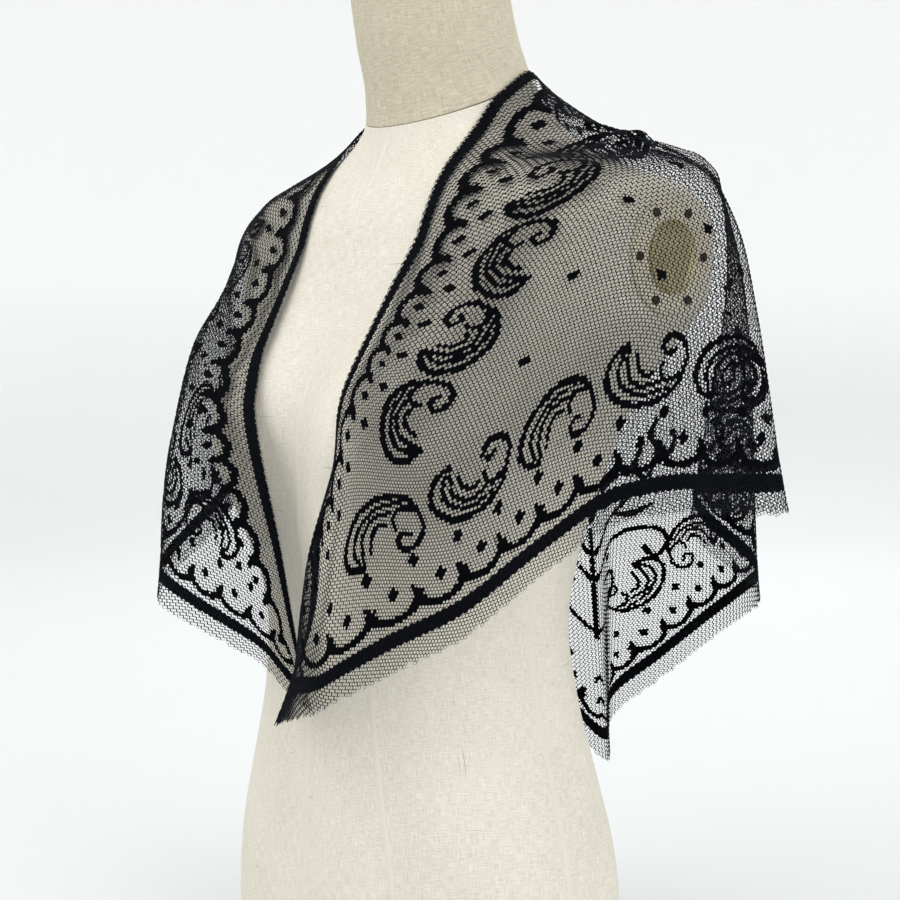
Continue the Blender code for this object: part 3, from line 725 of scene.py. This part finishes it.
def scallop_ink(at, pitch, low, high, width):
    """A row of bows: each is the outer half of an oval, and a small curl rises inward from the
    cusp where two of them meet."""
    place, _ = repeat(at, pitch, high)
    oval = np.hypot(place[:, 0] / (pitch / 2), place[:, 1] / (high - low))
    distance = np.abs(oval - 1) * (high - low) - width / 2
    bow = edge_ink(distance) * (place[:, 1] < width / 2)
    cusp, _ = repeat(at, pitch, high, start=pitch / 2)
    return np.maximum(bow, line_ink(cusp, CUSP_CURL, (width, width * 0.9)))


def spot_rows(at, pitch, rows, size):
    """Rows of spots in quincunx: every second row is moved along by half the pitch."""
    ink = np.zeros(len(at))
    for number, level in enumerate(rows):
        place, _ = repeat(at, pitch, level, start=pitch / 2 * (number % 2))
        ink = np.maximum(ink, spot_ink(place, size))
    return ink

# %% The plume
# Lines in centimetres along the border and in from it, and widths from one end to the other.
PLUME = [
    # back
    ([(-2.7, 0.3), (-2.2, 1.4), (-0.9, 2.15), (0.7, 2.1), (2.1, 1.2), (2.8, -0.3), (2.4, -1.6), (1.4, -2.2)],
     (0.42, 0.52, 0.56, 0.44)),
    # curl at the root
    ([(-2.7, 0.3), (-2.95, -0.8), (-2.5, -1.9), (-1.6, -2.15), (-1.1, -1.5), (-1.5, -0.9), (-2.0, -1.2)],
     (0.42, 0.46, 0.34)),
    # front
    ([(-2.5, 0.6), (-1.5, 0.9), (-1.0, 0.3), (-1.1, -0.3)], (0.40, 0.36)),
    # veins
    ([(-1.7, 1.4), (0.0, 1.55), (1.4, 0.8), (2.0, -0.5), (1.5, -2.0)], (0.30, 0.40, 0.36)),
    ([(-1.0, 0.9), (0.3, 0.95), (1.2, 0.1), (1.35, -1.0), (1.3, -2.0)], (0.30, 0.38, 0.36)),
    ([(-0.5, 0.2), (0.1, 0.3), (0.6, -0.4), (0.75, -1.4)], (0.34, 0.36, 0.26)),
]
PLUME_REACH = 3.2  # nothing of a plume lies further than this from its middle line


def plume_ink(at, pitch, middle, size, weight, start, first, last):
    """A running wave of plumes from the first repeat to the last: each second one is turned over,
    so that its curl lies outward."""
    place, number = repeat(at, pitch, middle, start)
    place[:, 1] *= np.where(number % 2 == 0, 1, -1)
    ink = np.zeros(len(at))
    shown = (number >= first) & (number <= last)
    near = np.flatnonzero(shown & (np.abs(place[:, 1]) < PLUME_REACH * size[1]))
    for points, widths in PLUME:
        drawn = line_ink(place[near], np.array(points) * size, np.array(widths) * weight)
        ink[near] = np.maximum(ink[near], drawn)
    return ink

# %% The bunch of flowers in the back corner
# Lines in centimetres from the middle of the back and down from the neck edge, and their widths.
BUNCH = [
    # stem and curls
    ([(0.0, 43.4), (0.0, 39.0), (0.0, 34.6)], (0.62, 0.50)),
    ([(0.2, 42.8), (1.7, 41.6), (2.8, 40.0), (2.5, 38.6), (1.5, 38.8)], (0.46, 0.42)),
    ([(0.2, 38.6), (1.8, 36.6), (3.8, 35.6), (5.6, 35.9), (6.3, 37.1), (5.5, 38.0), (4.8, 37.2)],
     (0.50, 0.42)),
    # branch
    ([(0.2, 36.4), (1.6, 34.8), (3.4, 33.2), (4.8, 31.2), (5.2, 29.2)], (0.46, 0.36)),
    # leaves
    ([(2.6, 34.0), (3.8, 34.3), (5.0, 33.8)], (0.30, 0.74, 0.26)),
    ([(4.1, 32.3), (5.5, 32.6), (6.6, 31.8)], (0.30, 0.74, 0.26)),
    ([(4.5, 31.8), (3.8, 30.6), (4.1, 29.4)], (0.30, 0.66, 0.26)),
    ([(5.2, 30.2), (6.3, 29.8), (6.9, 28.7)], (0.30, 0.70, 0.26)),
    ([(5.2, 29.4), (4.8, 28.2), (5.3, 27.0)], (0.30, 0.66, 0.26)),
]
BUNCH_WEIGHT = 0.8  # its lines are drawn at this share of their width
BUNCH_OUT, BUNCH_TOP = 9, 5  # nothing of it lies further out or higher than this
FLOWERS = [
    # out, depth, ring, petals, petal length
    (0.0, 31.0, 0.85, 8, 2.3),
    (1.9, 26.4, 0.42, 5, 1.4),
    (0.0, 8.3, 0.70, 8, 1.9),
]
PETAL_FAT = 0.26  # half a petal's width as a share of its length
PETAL_LEAN = 0.8  # under 1, a petal is widest nearer its ring
RING_HALF = 0.22  # half the width of the ring's line


def flower_ink(at, ring, petals, length):
    """A ring with petals round it, each a leaf from the ring out along its own ray."""
    radius = np.linalg.norm(at, axis=1)
    angle = np.arctan2(at[:, 0], -at[:, 1])
    sector = 2 * math.pi / petals
    turned = (angle + sector / 2) % sector - sector / 2
    beyond = np.clip((radius - ring) / length, 0, 1)
    half_petal = PETAL_FAT * length * np.sin(math.pi * beyond**PETAL_LEAN)
    across = np.abs(radius * np.sin(turned))
    petal = edge_ink(across - half_petal) * (radius > ring) * (radius < ring + length)
    return np.maximum(petal, edge_ink(np.abs(radius - ring) - RING_HALF))


def bunch_ink(folded):
    """Stem, branches, leaves and flowers, on both sides of the middle of the back."""
    ink = np.zeros(len(folded))
    near = np.flatnonzero((folded[:, 0] < BUNCH_OUT) & (folded[:, 1] > BUNCH_TOP))
    for points, widths in BUNCH:
        drawn = line_ink(folded[near], points, np.array(widths) * BUNCH_WEIGHT)
        ink[near] = np.maximum(ink[near], drawn)
    for out, depth, ring, petals, length in FLOWERS:
        ink[near] = np.maximum(ink[near], flower_ink(folded[near] - [out, depth], ring, petals, length))
    return ink

# %% The whole chart
# All in centimetres along an edge and in from it, for the neck edge first and then for the hem.
# Each drawing also keeps clear of the other edge, so that the two borders don't cross in a corner.
SCALLOPS = [
    # pitch, outermost, cusps, width of line, clear
    (3.0, 1.7, 2.5, 0.40, 3.4),
    (3.2, 2.6, 3.4, 0.34, 1.4),
]
SPOT_ROWS = [
    # pitch, rows, size, clear
    (3.0, (2.9, 3.9), 0.40, 5.4),
    (3.2, (3.9, 5.2), 0.40, 2.4),
]
PLUMES = [
    # pitch, middle, size along and in, weight of line, start, first and last repeat
    (5.8, 6.5, (0.92, 0.76), 0.80, -0.7, 1, 7),
    (6.5, 7.3, (1.0, 0.70), 0.68, 7.2, 1, 10),
]
FIELD = 5.8, np.arange(10.8, 40, 4.4), 0.40  # pitch, rows and size of the spots between
FIELD_CLEAR = 9.9  # they keep this far off the hem
FIELD_START = 0.4  # and this far off the middle of the back
BUNCH_CLEAR = 5.6


def chart(flat):
    """How full each mesh is, from 0 for open net to 1: the most of all the drawings there."""
    folded, *borders = border_places(flat)
    off_hem = borders[1][:, 1]
    middle_clear = folded[:, 0] > FIELD_START
    drawings = [spot_rows(borders[0], *FIELD) * (off_hem > FIELD_CLEAR) * middle_clear,
                bunch_ink(folded) * (off_hem > BUNCH_CLEAR)]
    for border, other, scallops, spots, plumes in zip(
            borders, borders[::-1], SCALLOPS, SPOT_ROWS, PLUMES):
        drawings += [scallop_ink(border, *scallops[:-1]) * (other[:, 1] > scallops[-1]),
                     spot_rows(border, *spots[:-1]) * (other[:, 1] > spots[-1]),
                     plume_ink(border, *plumes)]
    return np.maximum.reduce(drawings)

# %% [markdown]
# ## The net
#
# Net can be painted as a see-through pattern, but then its edge is a flat cut and a fold shows
# nothing inside it. Here every mesh is really there. Between two open meshes runs one ribbon of
# yarn, and three ribbons meet in a small knot. The holes stand at three heights by turns, so that
# each ribbon leans to one side, as the twisted thread of net does. A filled mesh is a small pillow,
# and the yarn beside it stands up to its rim. Four panels, each under the size that a mesh file is
# kept whole at, meet mesh to mesh.

# %% Meshes of the flat net
MESH = 0.20  # from the middle of one mesh to the next, in centimetres
ROW_STEP = 0.8660254 * MESH  # from one row to the next: half the root of three times as much
ROW_HALF = 310  # a row reaches this many meshes to each side
HOLE = 0.772  # width of an open hole as a share of its mesh
CLOSING = 0.6  # how much narrower ink makes it
THREAD_RISE = 0.030  # the yarn beside a filled mesh stands this high
PILLOW_RISE = 0.040  # and the middle of a filled mesh this high
LEAN_RISE = 0.031  # from one of the three heights of the holes to the next
FULL = 0.55  # ink from which a mesh is filled
FRAY = 0.10, 0.16  # the outermost meshes break away this far in, and up to this much further
RIM = 0.04  # the net ends this share of a rib's step before the first and the last rib
CUT_SPAN = 56.0  # centimetres of the cut for the whole of its map
CORNERS = np.radians(30 + 60 * np.arange(6))
CORNER_STEPS = MESH / math.sqrt(3) * np.stack([np.cos(CORNERS), np.sin(CORNERS)], -1)
ACROSS = np.array([(1, 1), (-1, 1), (-2, 0), (-1, -1), (1, -1), (2, 0)])  # in half meshes and rows
ROW_CODE = 4096  # more half meshes than a row has
KEY_STEPS, KEY_ROW = 40, 100000  # corners that round to one fortieth of a centimetre are one
PANEL_EDGES = (-HALF_EDGE, -17.9, 0.0, 17.9, HALF_EDGE)
PANEL_NAMES = ("right_front_lace", "right_back_lace", "left_back_lace", "left_front_lace")
chance = np.random.default_rng(7)


def net_middles():
    """Middles of the meshes: every second row is moved by half a mesh. Along the hem, where the
    net is cut, some of the outermost meshes are broken away."""
    row = np.arange(int(BACK_DEPTH / ROW_STEP) + 1)[:, None]
    step = np.arange(-ROW_HALF, ROW_HALF + 1)[None]
    x = MESH * (step + 0.5 * (row % 2))
    flat = np.stack([x, ROW_STEP * row + 0 * x], -1).reshape(-1, 2)
    _, _, by_hem = border_places(flat)
    frayed = FRAY[0] + FRAY[1] * chance.random(len(flat)) ** 2
    rib, down = locate(flat)
    inside = (rib > RIM) & (rib < len(RIBS) - 1 - RIM) & (down <= 1)
    return flat[inside & (by_hem[:, 1] > frayed)]


middles = net_middles()
fill = chart(middles)
print(len(middles), "meshes,", int((fill > FULL).sum()), "of them filled")

# %% One panel of net
def neighbours(middle):
    """For each mesh, the numbers of the six meshes across its sides, or -1 where there is none,
    and which of three heights its hole has. Neighbours never have the same height."""
    place = np.round(middle / [MESH / 2, ROW_STEP]).astype(np.int64)
    code = place @ [1, ROW_CODE]
    order = np.argsort(code)
    sought = code[:, None] + ACROSS @ [1, ROW_CODE]
    found = order[np.minimum(np.searchsorted(code[order], sought), len(code) - 1)]
    height = (place[:, 0] - 3 * place[:, 1]) // 2 % 3
    return np.where(code[found] == sought, found, -1), height


def yarn_faces(open_mesh, across, outer, inner):
    """Faces between the holes. Side k of a mesh lies between its corners k and k + 1. Where both
    meshes at a side are open, one ribbon joins their holes, and three such ribbons meet in a knot.
    Elsewhere half a ribbon runs from the hole to the shared corners."""
    joined = open_mesh[:, None] & (across >= 0) & open_mesh[across]
    corner = np.arange(6)
    mesh, side = np.nonzero(open_mesh[:, None] & ~joined)
    ahead = (side + 1) % 6
    halves = [outer[mesh, side], outer[mesh, ahead], inner[mesh, ahead], inner[mesh, side]]
    mesh, side = np.nonzero(joined & (corner < 3))
    ahead, behind, other = side + 1, (side - 1) % 6, across[mesh, side]
    far, near = inner[other, (side + 4) % 6], inner[other, side + 3]
    ribbons = [far, near, inner[mesh, ahead], inner[mesh, side]]
    start, end = ~joined[mesh, behind], ~joined[mesh, ahead]
    starts = [far[start], inner[mesh, side][start], outer[mesh, side][start]]
    ends = [inner[mesh, ahead][end], near[end], outer[mesh, ahead][end]]
    mesh, side = np.nonzero(joined & np.roll(joined, 1, axis=1) & (corner < 2))
    third, other = across[mesh, (side - 1) % 6], across[mesh, side]
    knots = [inner[mesh, side], inner[third, side + 2], inner[other, side + 4]]
    triangles = [np.stack(group, -1) for group in (starts, ends, knots)]
    return np.concatenate([np.stack(halves, -1), np.stack(ribbons, -1)]), np.concatenate(triangles)


def net_panel(name, middle, ink, origin, finish):
    """Ribbons, knots and pillows for the meshes given. Corners at the same place are one."""
    corner = middle[:, None] + CORNER_STEPS
    keys = np.round(corner.reshape(-1, 2) * KEY_STEPS).astype(np.int64) @ [KEY_ROW, 1]
    _, first, shared = np.unique(keys, return_index=True, return_inverse=True)
    outer_flat = corner.reshape(-1, 2)[first]
    shared = shared.reshape(-1, 6)
    centre, normal = drape(middle)
    outer, outer_normal = drape(outer_flat)
    across, height = neighbours(middle)
    hole = (HOLE * (1 - CLOSING * np.clip(ink, 0, FULL)))[:, None, None]
    inner = centre[:, None] * (1 - hole) + outer[shared] * hole
    inner += (LEAN_RISE * height[:, None] * normal)[:, None]
    inner_flat = middle[:, None] * (1 - hole) + corner * hole
    inner_number = len(outer) + np.arange(6 * len(middle)).reshape(-1, 6)
    top_number = len(outer) + 6 * len(middle) + np.arange(len(middle))

    quads, triangles = yarn_faces(ink < FULL, across, shared, inner_number)
    solid = ink >= FULL
    tops = np.repeat(top_number[solid, None], 6, 1)
    fans = np.stack([shared[solid], np.roll(shared[solid], -1, axis=1), tops], -1).reshape(-1, 3)
    points = np.concatenate([outer + THREAD_RISE * outer_normal, inner.reshape(-1, 3),
                             centre + PILLOW_RISE * normal])
    flat = np.concatenate([outer_flat, inner_flat.reshape(-1, 2), middle])
    corners = np.concatenate([quads.ravel(), triangles.ravel(), fans.ravel()])
    used, renumbered = np.unique(corners, return_inverse=True)
    split = 4 * len(quads)
    faces = [renumbered[:split].reshape(-1, 4), renumbered[split:].reshape(-1, 3)]
    uv = (flat[corners] - [origin, 0]) / CUT_SPAN
    return new_piece(name, points[used], faces, finish, uv, np.isin(used, fans))

# %% [markdown]
# The yarn is a dull blue-black cotton. Dyed yarn is never one colour: it is a little worn and
# lighter here and there, and each strand has a soft fuzz that catches light at its edge. A filled
# mesh holds several strands packed side by side, and the shade they cast on each other is painted
# into its colour, so it is darker than the thin threads of the net. The net's own light tone is
# raised to make up for the yarn's low gloss, which is a painted sheen.

# %% Lace yarn and the four panels
WEAR, FUZZ = 9.0, 420.0  # how often each noise changes over the whole map
WEAR_SHARE = 0.6  # of the change in tone, the rest being fuzz
PACKED_SHADE = 0.93  # the share of its lightness that a filled mesh loses, as painted shade between packed strands


def yarn(name, dark, light, net=False):
    """Matt dyed yarn: a slow change of colour over the cut and fine fuzz. In net the tone sinks
    where the meshes are filled, a painted shade between their packed strands."""
    bench = Bench(name, sheen=0.004, gloss=0.03)
    cut = bench.node("ShaderNodeUVMap", {"uv_map": CUT_MAP})
    fine = bench.noise(cut, FUZZ, 1.0)
    tone = bench.noise(cut, WEAR) * WEAR_SHARE + fine * (1 - WEAR_SHARE)
    if net:
        filled = bench.node("ShaderNodeAttribute", {"attribute_name": "filled"}, None, 2)
        # Painted shade: a filled mesh is darkened as if its packed strands shaded each other.
        tone = tone * (1 - PACKED_SHADE * filled)
    bench.feed("Base Color", bench.blend(tone, dark, light))
    bench.rough(fine, low=0.72, high=0.92)
    bench.bump(fine, distance=0.0002, strength=0.5)
    return bench.material


BLACK = (0.0006, 0.0008, 0.0015, 1)
# The net's light tone is raised to make up for the yarn's low gloss: a painted sheen on its thin threads.
lace_yarn = yarn("black_lace_yarn", BLACK, (0.024, 0.026, 0.034, 1), net=True)
panels = []
for name, left_edge, right_edge in zip(PANEL_NAMES, PANEL_EDGES, PANEL_EDGES[1:]):
    inside = (middles[:, 0] >= left_edge) & (middles[:, 0] < right_edge)
    panel = net_panel(name, middles[inside], fill[inside], left_edge, lace_yarn)
    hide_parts("lace_triangle")
    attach(panel, "root")
    panels.append(panel)
    print(name, len(panel.data.polygons), "faces")

# %% [markdown]
# ## The bands
#
# The neck edge and the hem are bound by narrow bands knitted close, with no holes. A band is a
# profile like a lens carried along the edge, with a ridge for every row of knitting. The ridges
# lean one way above the middle and the other way below it, as chain stitches do.

# %% A band along a line of the cut
BAND_SIDES = 12  # points round a band
BAND_STEP = 0.105  # from one ring of points to the next
BAND_THICK = 0.14
BLUNT = 1.2  # length of the taper at each end
LENS = 0.7  # under 1, its edges are blunter than a circle's
STUB = 0.02  # the share of its thickness that is left at the very end
RIDGE, PITCH = 0.5, 0.42  # depth of a ridge as a share of the thickness, and from ridge to ridge
LEAN, WAVE = 0.6, 0.14  # how far a ridge leans, in ridges, and how far it stands out at the edge


def build_band(name, start, end, width, finish):
    """Flat cord from start to end on the cut. Across it is a lens with blunt edges; along it each
    ridge is a cosine; and each end narrows as a quarter of an ellipse."""
    line = np.array(end) - np.array(start)
    length = np.linalg.norm(line)
    along = np.linspace(0, length, int(length / BAND_STEP) + 1)
    side = np.array([line[1], -line[0]]) / length
    turn = turns(BAND_SIDES)
    across, up = np.cos(turn), np.sign(np.sin(turn)) * np.abs(np.sin(turn)) ** LENS
    close = np.clip(np.minimum(along, length - along) / BLUNT, 0, 1)
    taper = np.sqrt(1 - (1 - close) ** 2)[:, None] + STUB
    path = np.array(start) + np.outer(along / length, line)
    phase = 2 * math.pi * (along[:, None] / PITCH + LEAN * np.abs(across))
    reach = across * width / 2 * np.minimum(taper * 2, 1) * (1 + WAVE * np.cos(phase))
    flat = (path[:, None] + reach[..., None] * side).reshape(-1, 2)
    lift = up * BAND_THICK / 2 * taper * (1 - RIDGE / 2 + RIDGE / 2 * np.cos(phase))
    points, out = drape(flat)
    ring = np.arange(BAND_SIDES)
    last = np.arange(len(along) - 1) * BAND_SIDES
    joint = np.stack([last + ring[-1], last + ring[-1] + BAND_SIDES, last + BAND_SIDES, last], -1)
    sides = np.concatenate([grid_faces(len(along), BAND_SIDES), joint])
    ends = [ring[None], (len(along) - 1) * BAND_SIDES + ring[None, ::-1]]
    return new_piece(name, points + lift.reshape(-1, 1) * out, [sides] + ends, finish)

# %% The three bands
# The bands' light tone is far below the net's: the shade between their close-knit strands is painted into
# the colour.
band_yarn = yarn("black_band_yarn", BLACK, (0.0045, 0.0055, 0.0080, 1))
NECK_LINE, NECK_WIDTH = 0.40, 0.60  # how far in from its edge a band's middle lies, and its width
HEM_LINE, HEM_WIDTH = 1.65, 0.80
LAP = 0.3  # the two hem bands overlap by this much at the back corner
TIP = 56.4  # and end this far from the middle
hem_drop = HEM_LINE * HEM_SIDE / HALF_EDGE
corner_y = BACK_DEPTH - hem_drop
tip_y = (HALF_EDGE - TIP) * BACK_DEPTH / HALF_EDGE - hem_drop
bands = {
    "neck_band": ((-57.0, NECK_LINE), (59.6, NECK_LINE), NECK_WIDTH),
    "right_hem_band": ((LAP, corner_y), (-TIP, tip_y), HEM_WIDTH),
    "left_hem_band": ((-LAP, corner_y), (TIP, tip_y), HEM_WIDTH),
}
for name, (start, end, width) in bands.items():
    band = build_band("knitted_" + name, start, end, width, band_yarn)
    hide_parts(name)
    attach(band, "root")
    print(band.name, len(band.data.polygons), "faces")

# %% [markdown]
# ## Linen covers
#
# The form is covered in unbleached linen: a plain weave whose threads swell and thin, so that
# short pale and dark streaks run both up and round. The streaks are noise drawn out along the two
# directions of the cut, and the same noises give the weave its relief. The neck is covered in a
# greyer piece of the same cloth.

# %% Linen
THREAD = 1900, 130  # how often the noise changes across a thread and along it
SLUB = 1100, 26  # the same for the thick dark thread that turns up here and there
SLUB_TONE = (0.34, 0.29, 0.21, 1)
MOTTLE = 14.0
CONTRAST = 3.4
SLUB_FROM, SLUB_SHARP = 0.82, 9  # the noise from which a dark thread shows, and how sharply


def threads(bench, cut, across, along, detail):
    """Two noises on the cut, one drawn out up it and one round it."""
    return [bench.noise(bench.stretched(cut, scale), 1.0, detail)
            for scale in ((across, along, 1), (along, across, 1))]


def linen(name, pale, dark):
    """Plain weave from two drawn-out noises over a slow mottle, with a dark thread wherever one of
    two longer noises comes near its top."""
    bench = Bench(name, sheen=0.05, gloss=0.3)
    cut = bench.node("ShaderNodeUVMap", {"uv_map": CUT_MAP})
    up, across = threads(bench, cut, *THREAD, 2.0)
    streaks = up * 0.5 + across * 0.5
    contrast = (streaks - 0.5) * CONTRAST + 0.5 + (bench.noise(cut, MOTTLE) - 0.5) * 0.5
    slub_up, slub_across = threads(bench, cut, *SLUB, 0.0)
    slubs = (slub_up.larger(slub_across) - SLUB_FROM) * SLUB_SHARP
    bench.feed("Base Color", bench.blend(slubs, bench.blend(contrast, dark, pale), SLUB_TONE))
    bench.rough(streaks, low=0.82, high=0.96)
    bench.bump(streaks, distance=0.0006, strength=0.6)
    return bench.material


body_linen = linen("cream_linen", (0.86, 0.82, 0.74, 1), (0.64, 0.585, 0.48, 1))
neck_linen = linen("neck_linen", (0.69, 0.63, 0.50, 1), (0.47, 0.41, 0.30, 1))

# %% Body cover and neck cover
half_gap = NECK_SEAM["gap"] / 2


def level(z):
    """A height that is the same all round."""
    return lambda turn: z + 0 * turn


torso = build_cover("linen_body_cover", level(0.0), lambda turn: seam_height(turn) - half_gap,
                    rows=150, columns=240, finish=body_linen)
neck = build_cover("linen_neck_cover", lambda turn: seam_height(turn) + half_gap, level(TOP),
                   rows=44, columns=160, finish=neck_linen)
for cover, node, slot in ((torso, "form_torso", "body_linen"), (neck, "form_neck", "neck_linen")):
    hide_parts(node)
    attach(cover, "root")
    print(cover.name, len(cover.data.polygons), "faces")

# %% [markdown]
# A cover is sewn from shaped panels. The seams run from the neck over the bust to the foot, beside
# the middle in front and at the back, down both sides, and down the middle of the back. Each is a
# low welt, because the seam allowances lie folded under the cloth there.

# %% Seam welts
# Turn of each seam round the form in degrees at the heights given, and how high the seam goes.
SEAM_LEVELS = np.array([0.0, 26.0, 40.0, 60.0])
SEAMS = [
    ((0, 0, 0, 0), 60),  # middle of the front
    ((31, 27, 34, 62), 60),  # over each bust
    ((-31, -27, -34, -62), 60),
    ((90, 90, 90, 90), 44),  # sides, up to the arm plates
    ((-90, -90, -90, -90), 44),
    ((147, 152, 146, 128), 60),  # each side of the back
    ((-147, -152, -146, -128), 60),
    ((180, 180, 180, 180), 60),  # middle of the back
]
WELT_WIDTH, WELT_HEIGHT = 0.55, 0.045
WELT_SINK = 0.3  # its edges lie this share of its height below the cloth
SEAM_FOOT, SEAM_SHORT = 0.4, 0.2  # a seam starts this high and stops this far below the neck seam


def build_seams(name, finish, rows=150, columns=7, rounds=3):
    """Welts on the body cover: across each runs a cosine, sunk below the cloth at its edges, and
    the whole strip is set at that height off the form."""
    across = np.linspace(-1, 1, columns)
    rise = WELT_HEIGHT * ((1 + WELT_SINK) * np.cos(math.pi * across / 2) - WELT_SINK)
    share = np.linspace(0, 1, rows)
    points = []
    for degrees, top in SEAMS:
        turn = np.radians(spline(SEAM_LEVELS, np.array([degrees], float).T, share * top)[:, 0])
        z = SEAM_FOOT + share * (np.minimum(seam_height(turn) - SEAM_SHORT, top) - SEAM_FOOT)
        line = form_point(turn, z)
        _, out = off_form(line)
        side = unit(np.cross(np.gradient(line, axis=0), out))
        strip = line[:, None] + side[:, None] * (across * WELT_WIDTH / 2)[:, None]
        for _ in range(rounds):
            distance, out = off_form(strip)
            strip = strip + (rise[:, None] - distance) * out
        points.append(strip.reshape(-1, 3))
    strip = grid_faces(rows, columns)[:, ::-1]
    faces = [strip + number * rows * columns for number in range(len(SEAMS))]
    return new_piece(name, np.concatenate(points), faces, finish)


seams = build_seams("seam_welts", body_linen)
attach(seams, "root")
print("seam welts", len(seams.data.polygons), "faces")

# %% [markdown]
# ## Arm plates
#
# The form has no arms. Each stub ends in a painted plate with six screws round a pressed metal cup,
# seen through the net. Paint wears thin toward a rim and metal dulls unevenly, so each finish is a
# slow noise between two tones with a little grain in its roughness. The CAD meshes are right as
# they are and only take new finishes.

# %% Paint and metal
def worn_finish(name, dark, light, roughness, metallic, grain):
    """Two tones mixed by a slow noise and fine grain, on the place in the object."""
    bench = Bench(name, metallic)
    place = bench.node("ShaderNodeTexCoord", None, None, OBJECT_PLACE)
    slow = bench.noise(place, 70.0)
    fine = bench.noise(place, grain)
    bench.feed("Base Color", bench.blend(slow * 0.7 + fine * 0.3, dark, light))
    bench.rough(fine, roughness - 0.1, roughness + 0.1)
    bench.bump(fine, distance=0.0002, strength=0.4)
    return bench.material


FITTINGS = {
    # part of the nodes' names: name of the finish, dark, light, roughness, metallic, grain
    "arm_plate": ("cream_plate_paint", (0.66, 0.60, 0.45, 1), (0.80, 0.75, 0.61, 1), 0.5, 0.0, 900.0),
    "arm_cup": ("brass_cup_metal", (0.31, 0.265, 0.14, 1), (0.62, 0.565, 0.33, 1), 0.38, 0.5, 700.0),
    "plate_screw": ("brown_screw_metal", (0.02, 0.012, 0.006, 1), (0.07, 0.045, 0.024, 1),
                    0.45, 0.6, 1200.0),
}
for part, settings in FITTINGS.items():
    finish = worn_finish(*settings)
    found = [node for name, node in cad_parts.items() if part in name]
    for node in found:
        node.material_slots[0].material = finish
    print(part, "finish on", len(found), "nodes")

# %% [markdown]
# ## What the cloth is
#
# Each panel's flat cut is printed with its size and area. The front panels are the triangle's two
# sharp ends and the back panels lie each side of the middle, so the four areas make up the whole
# triangle.

for panel, left_edge, right_edge in zip(panels, PANEL_EDGES, PANEL_EDGES[1:]):
    depths = depth_at(left_edge), depth_at(right_edge)
    area = (right_edge - left_edge) * sum(depths) / 2
    flat = ((right_edge - left_edge) * CM, max(depths) * CM)
    area * CM**2
    print(panel.name, "cut to", [round(v, 3) for v in flat], "area", round(area * CM**2, 4))
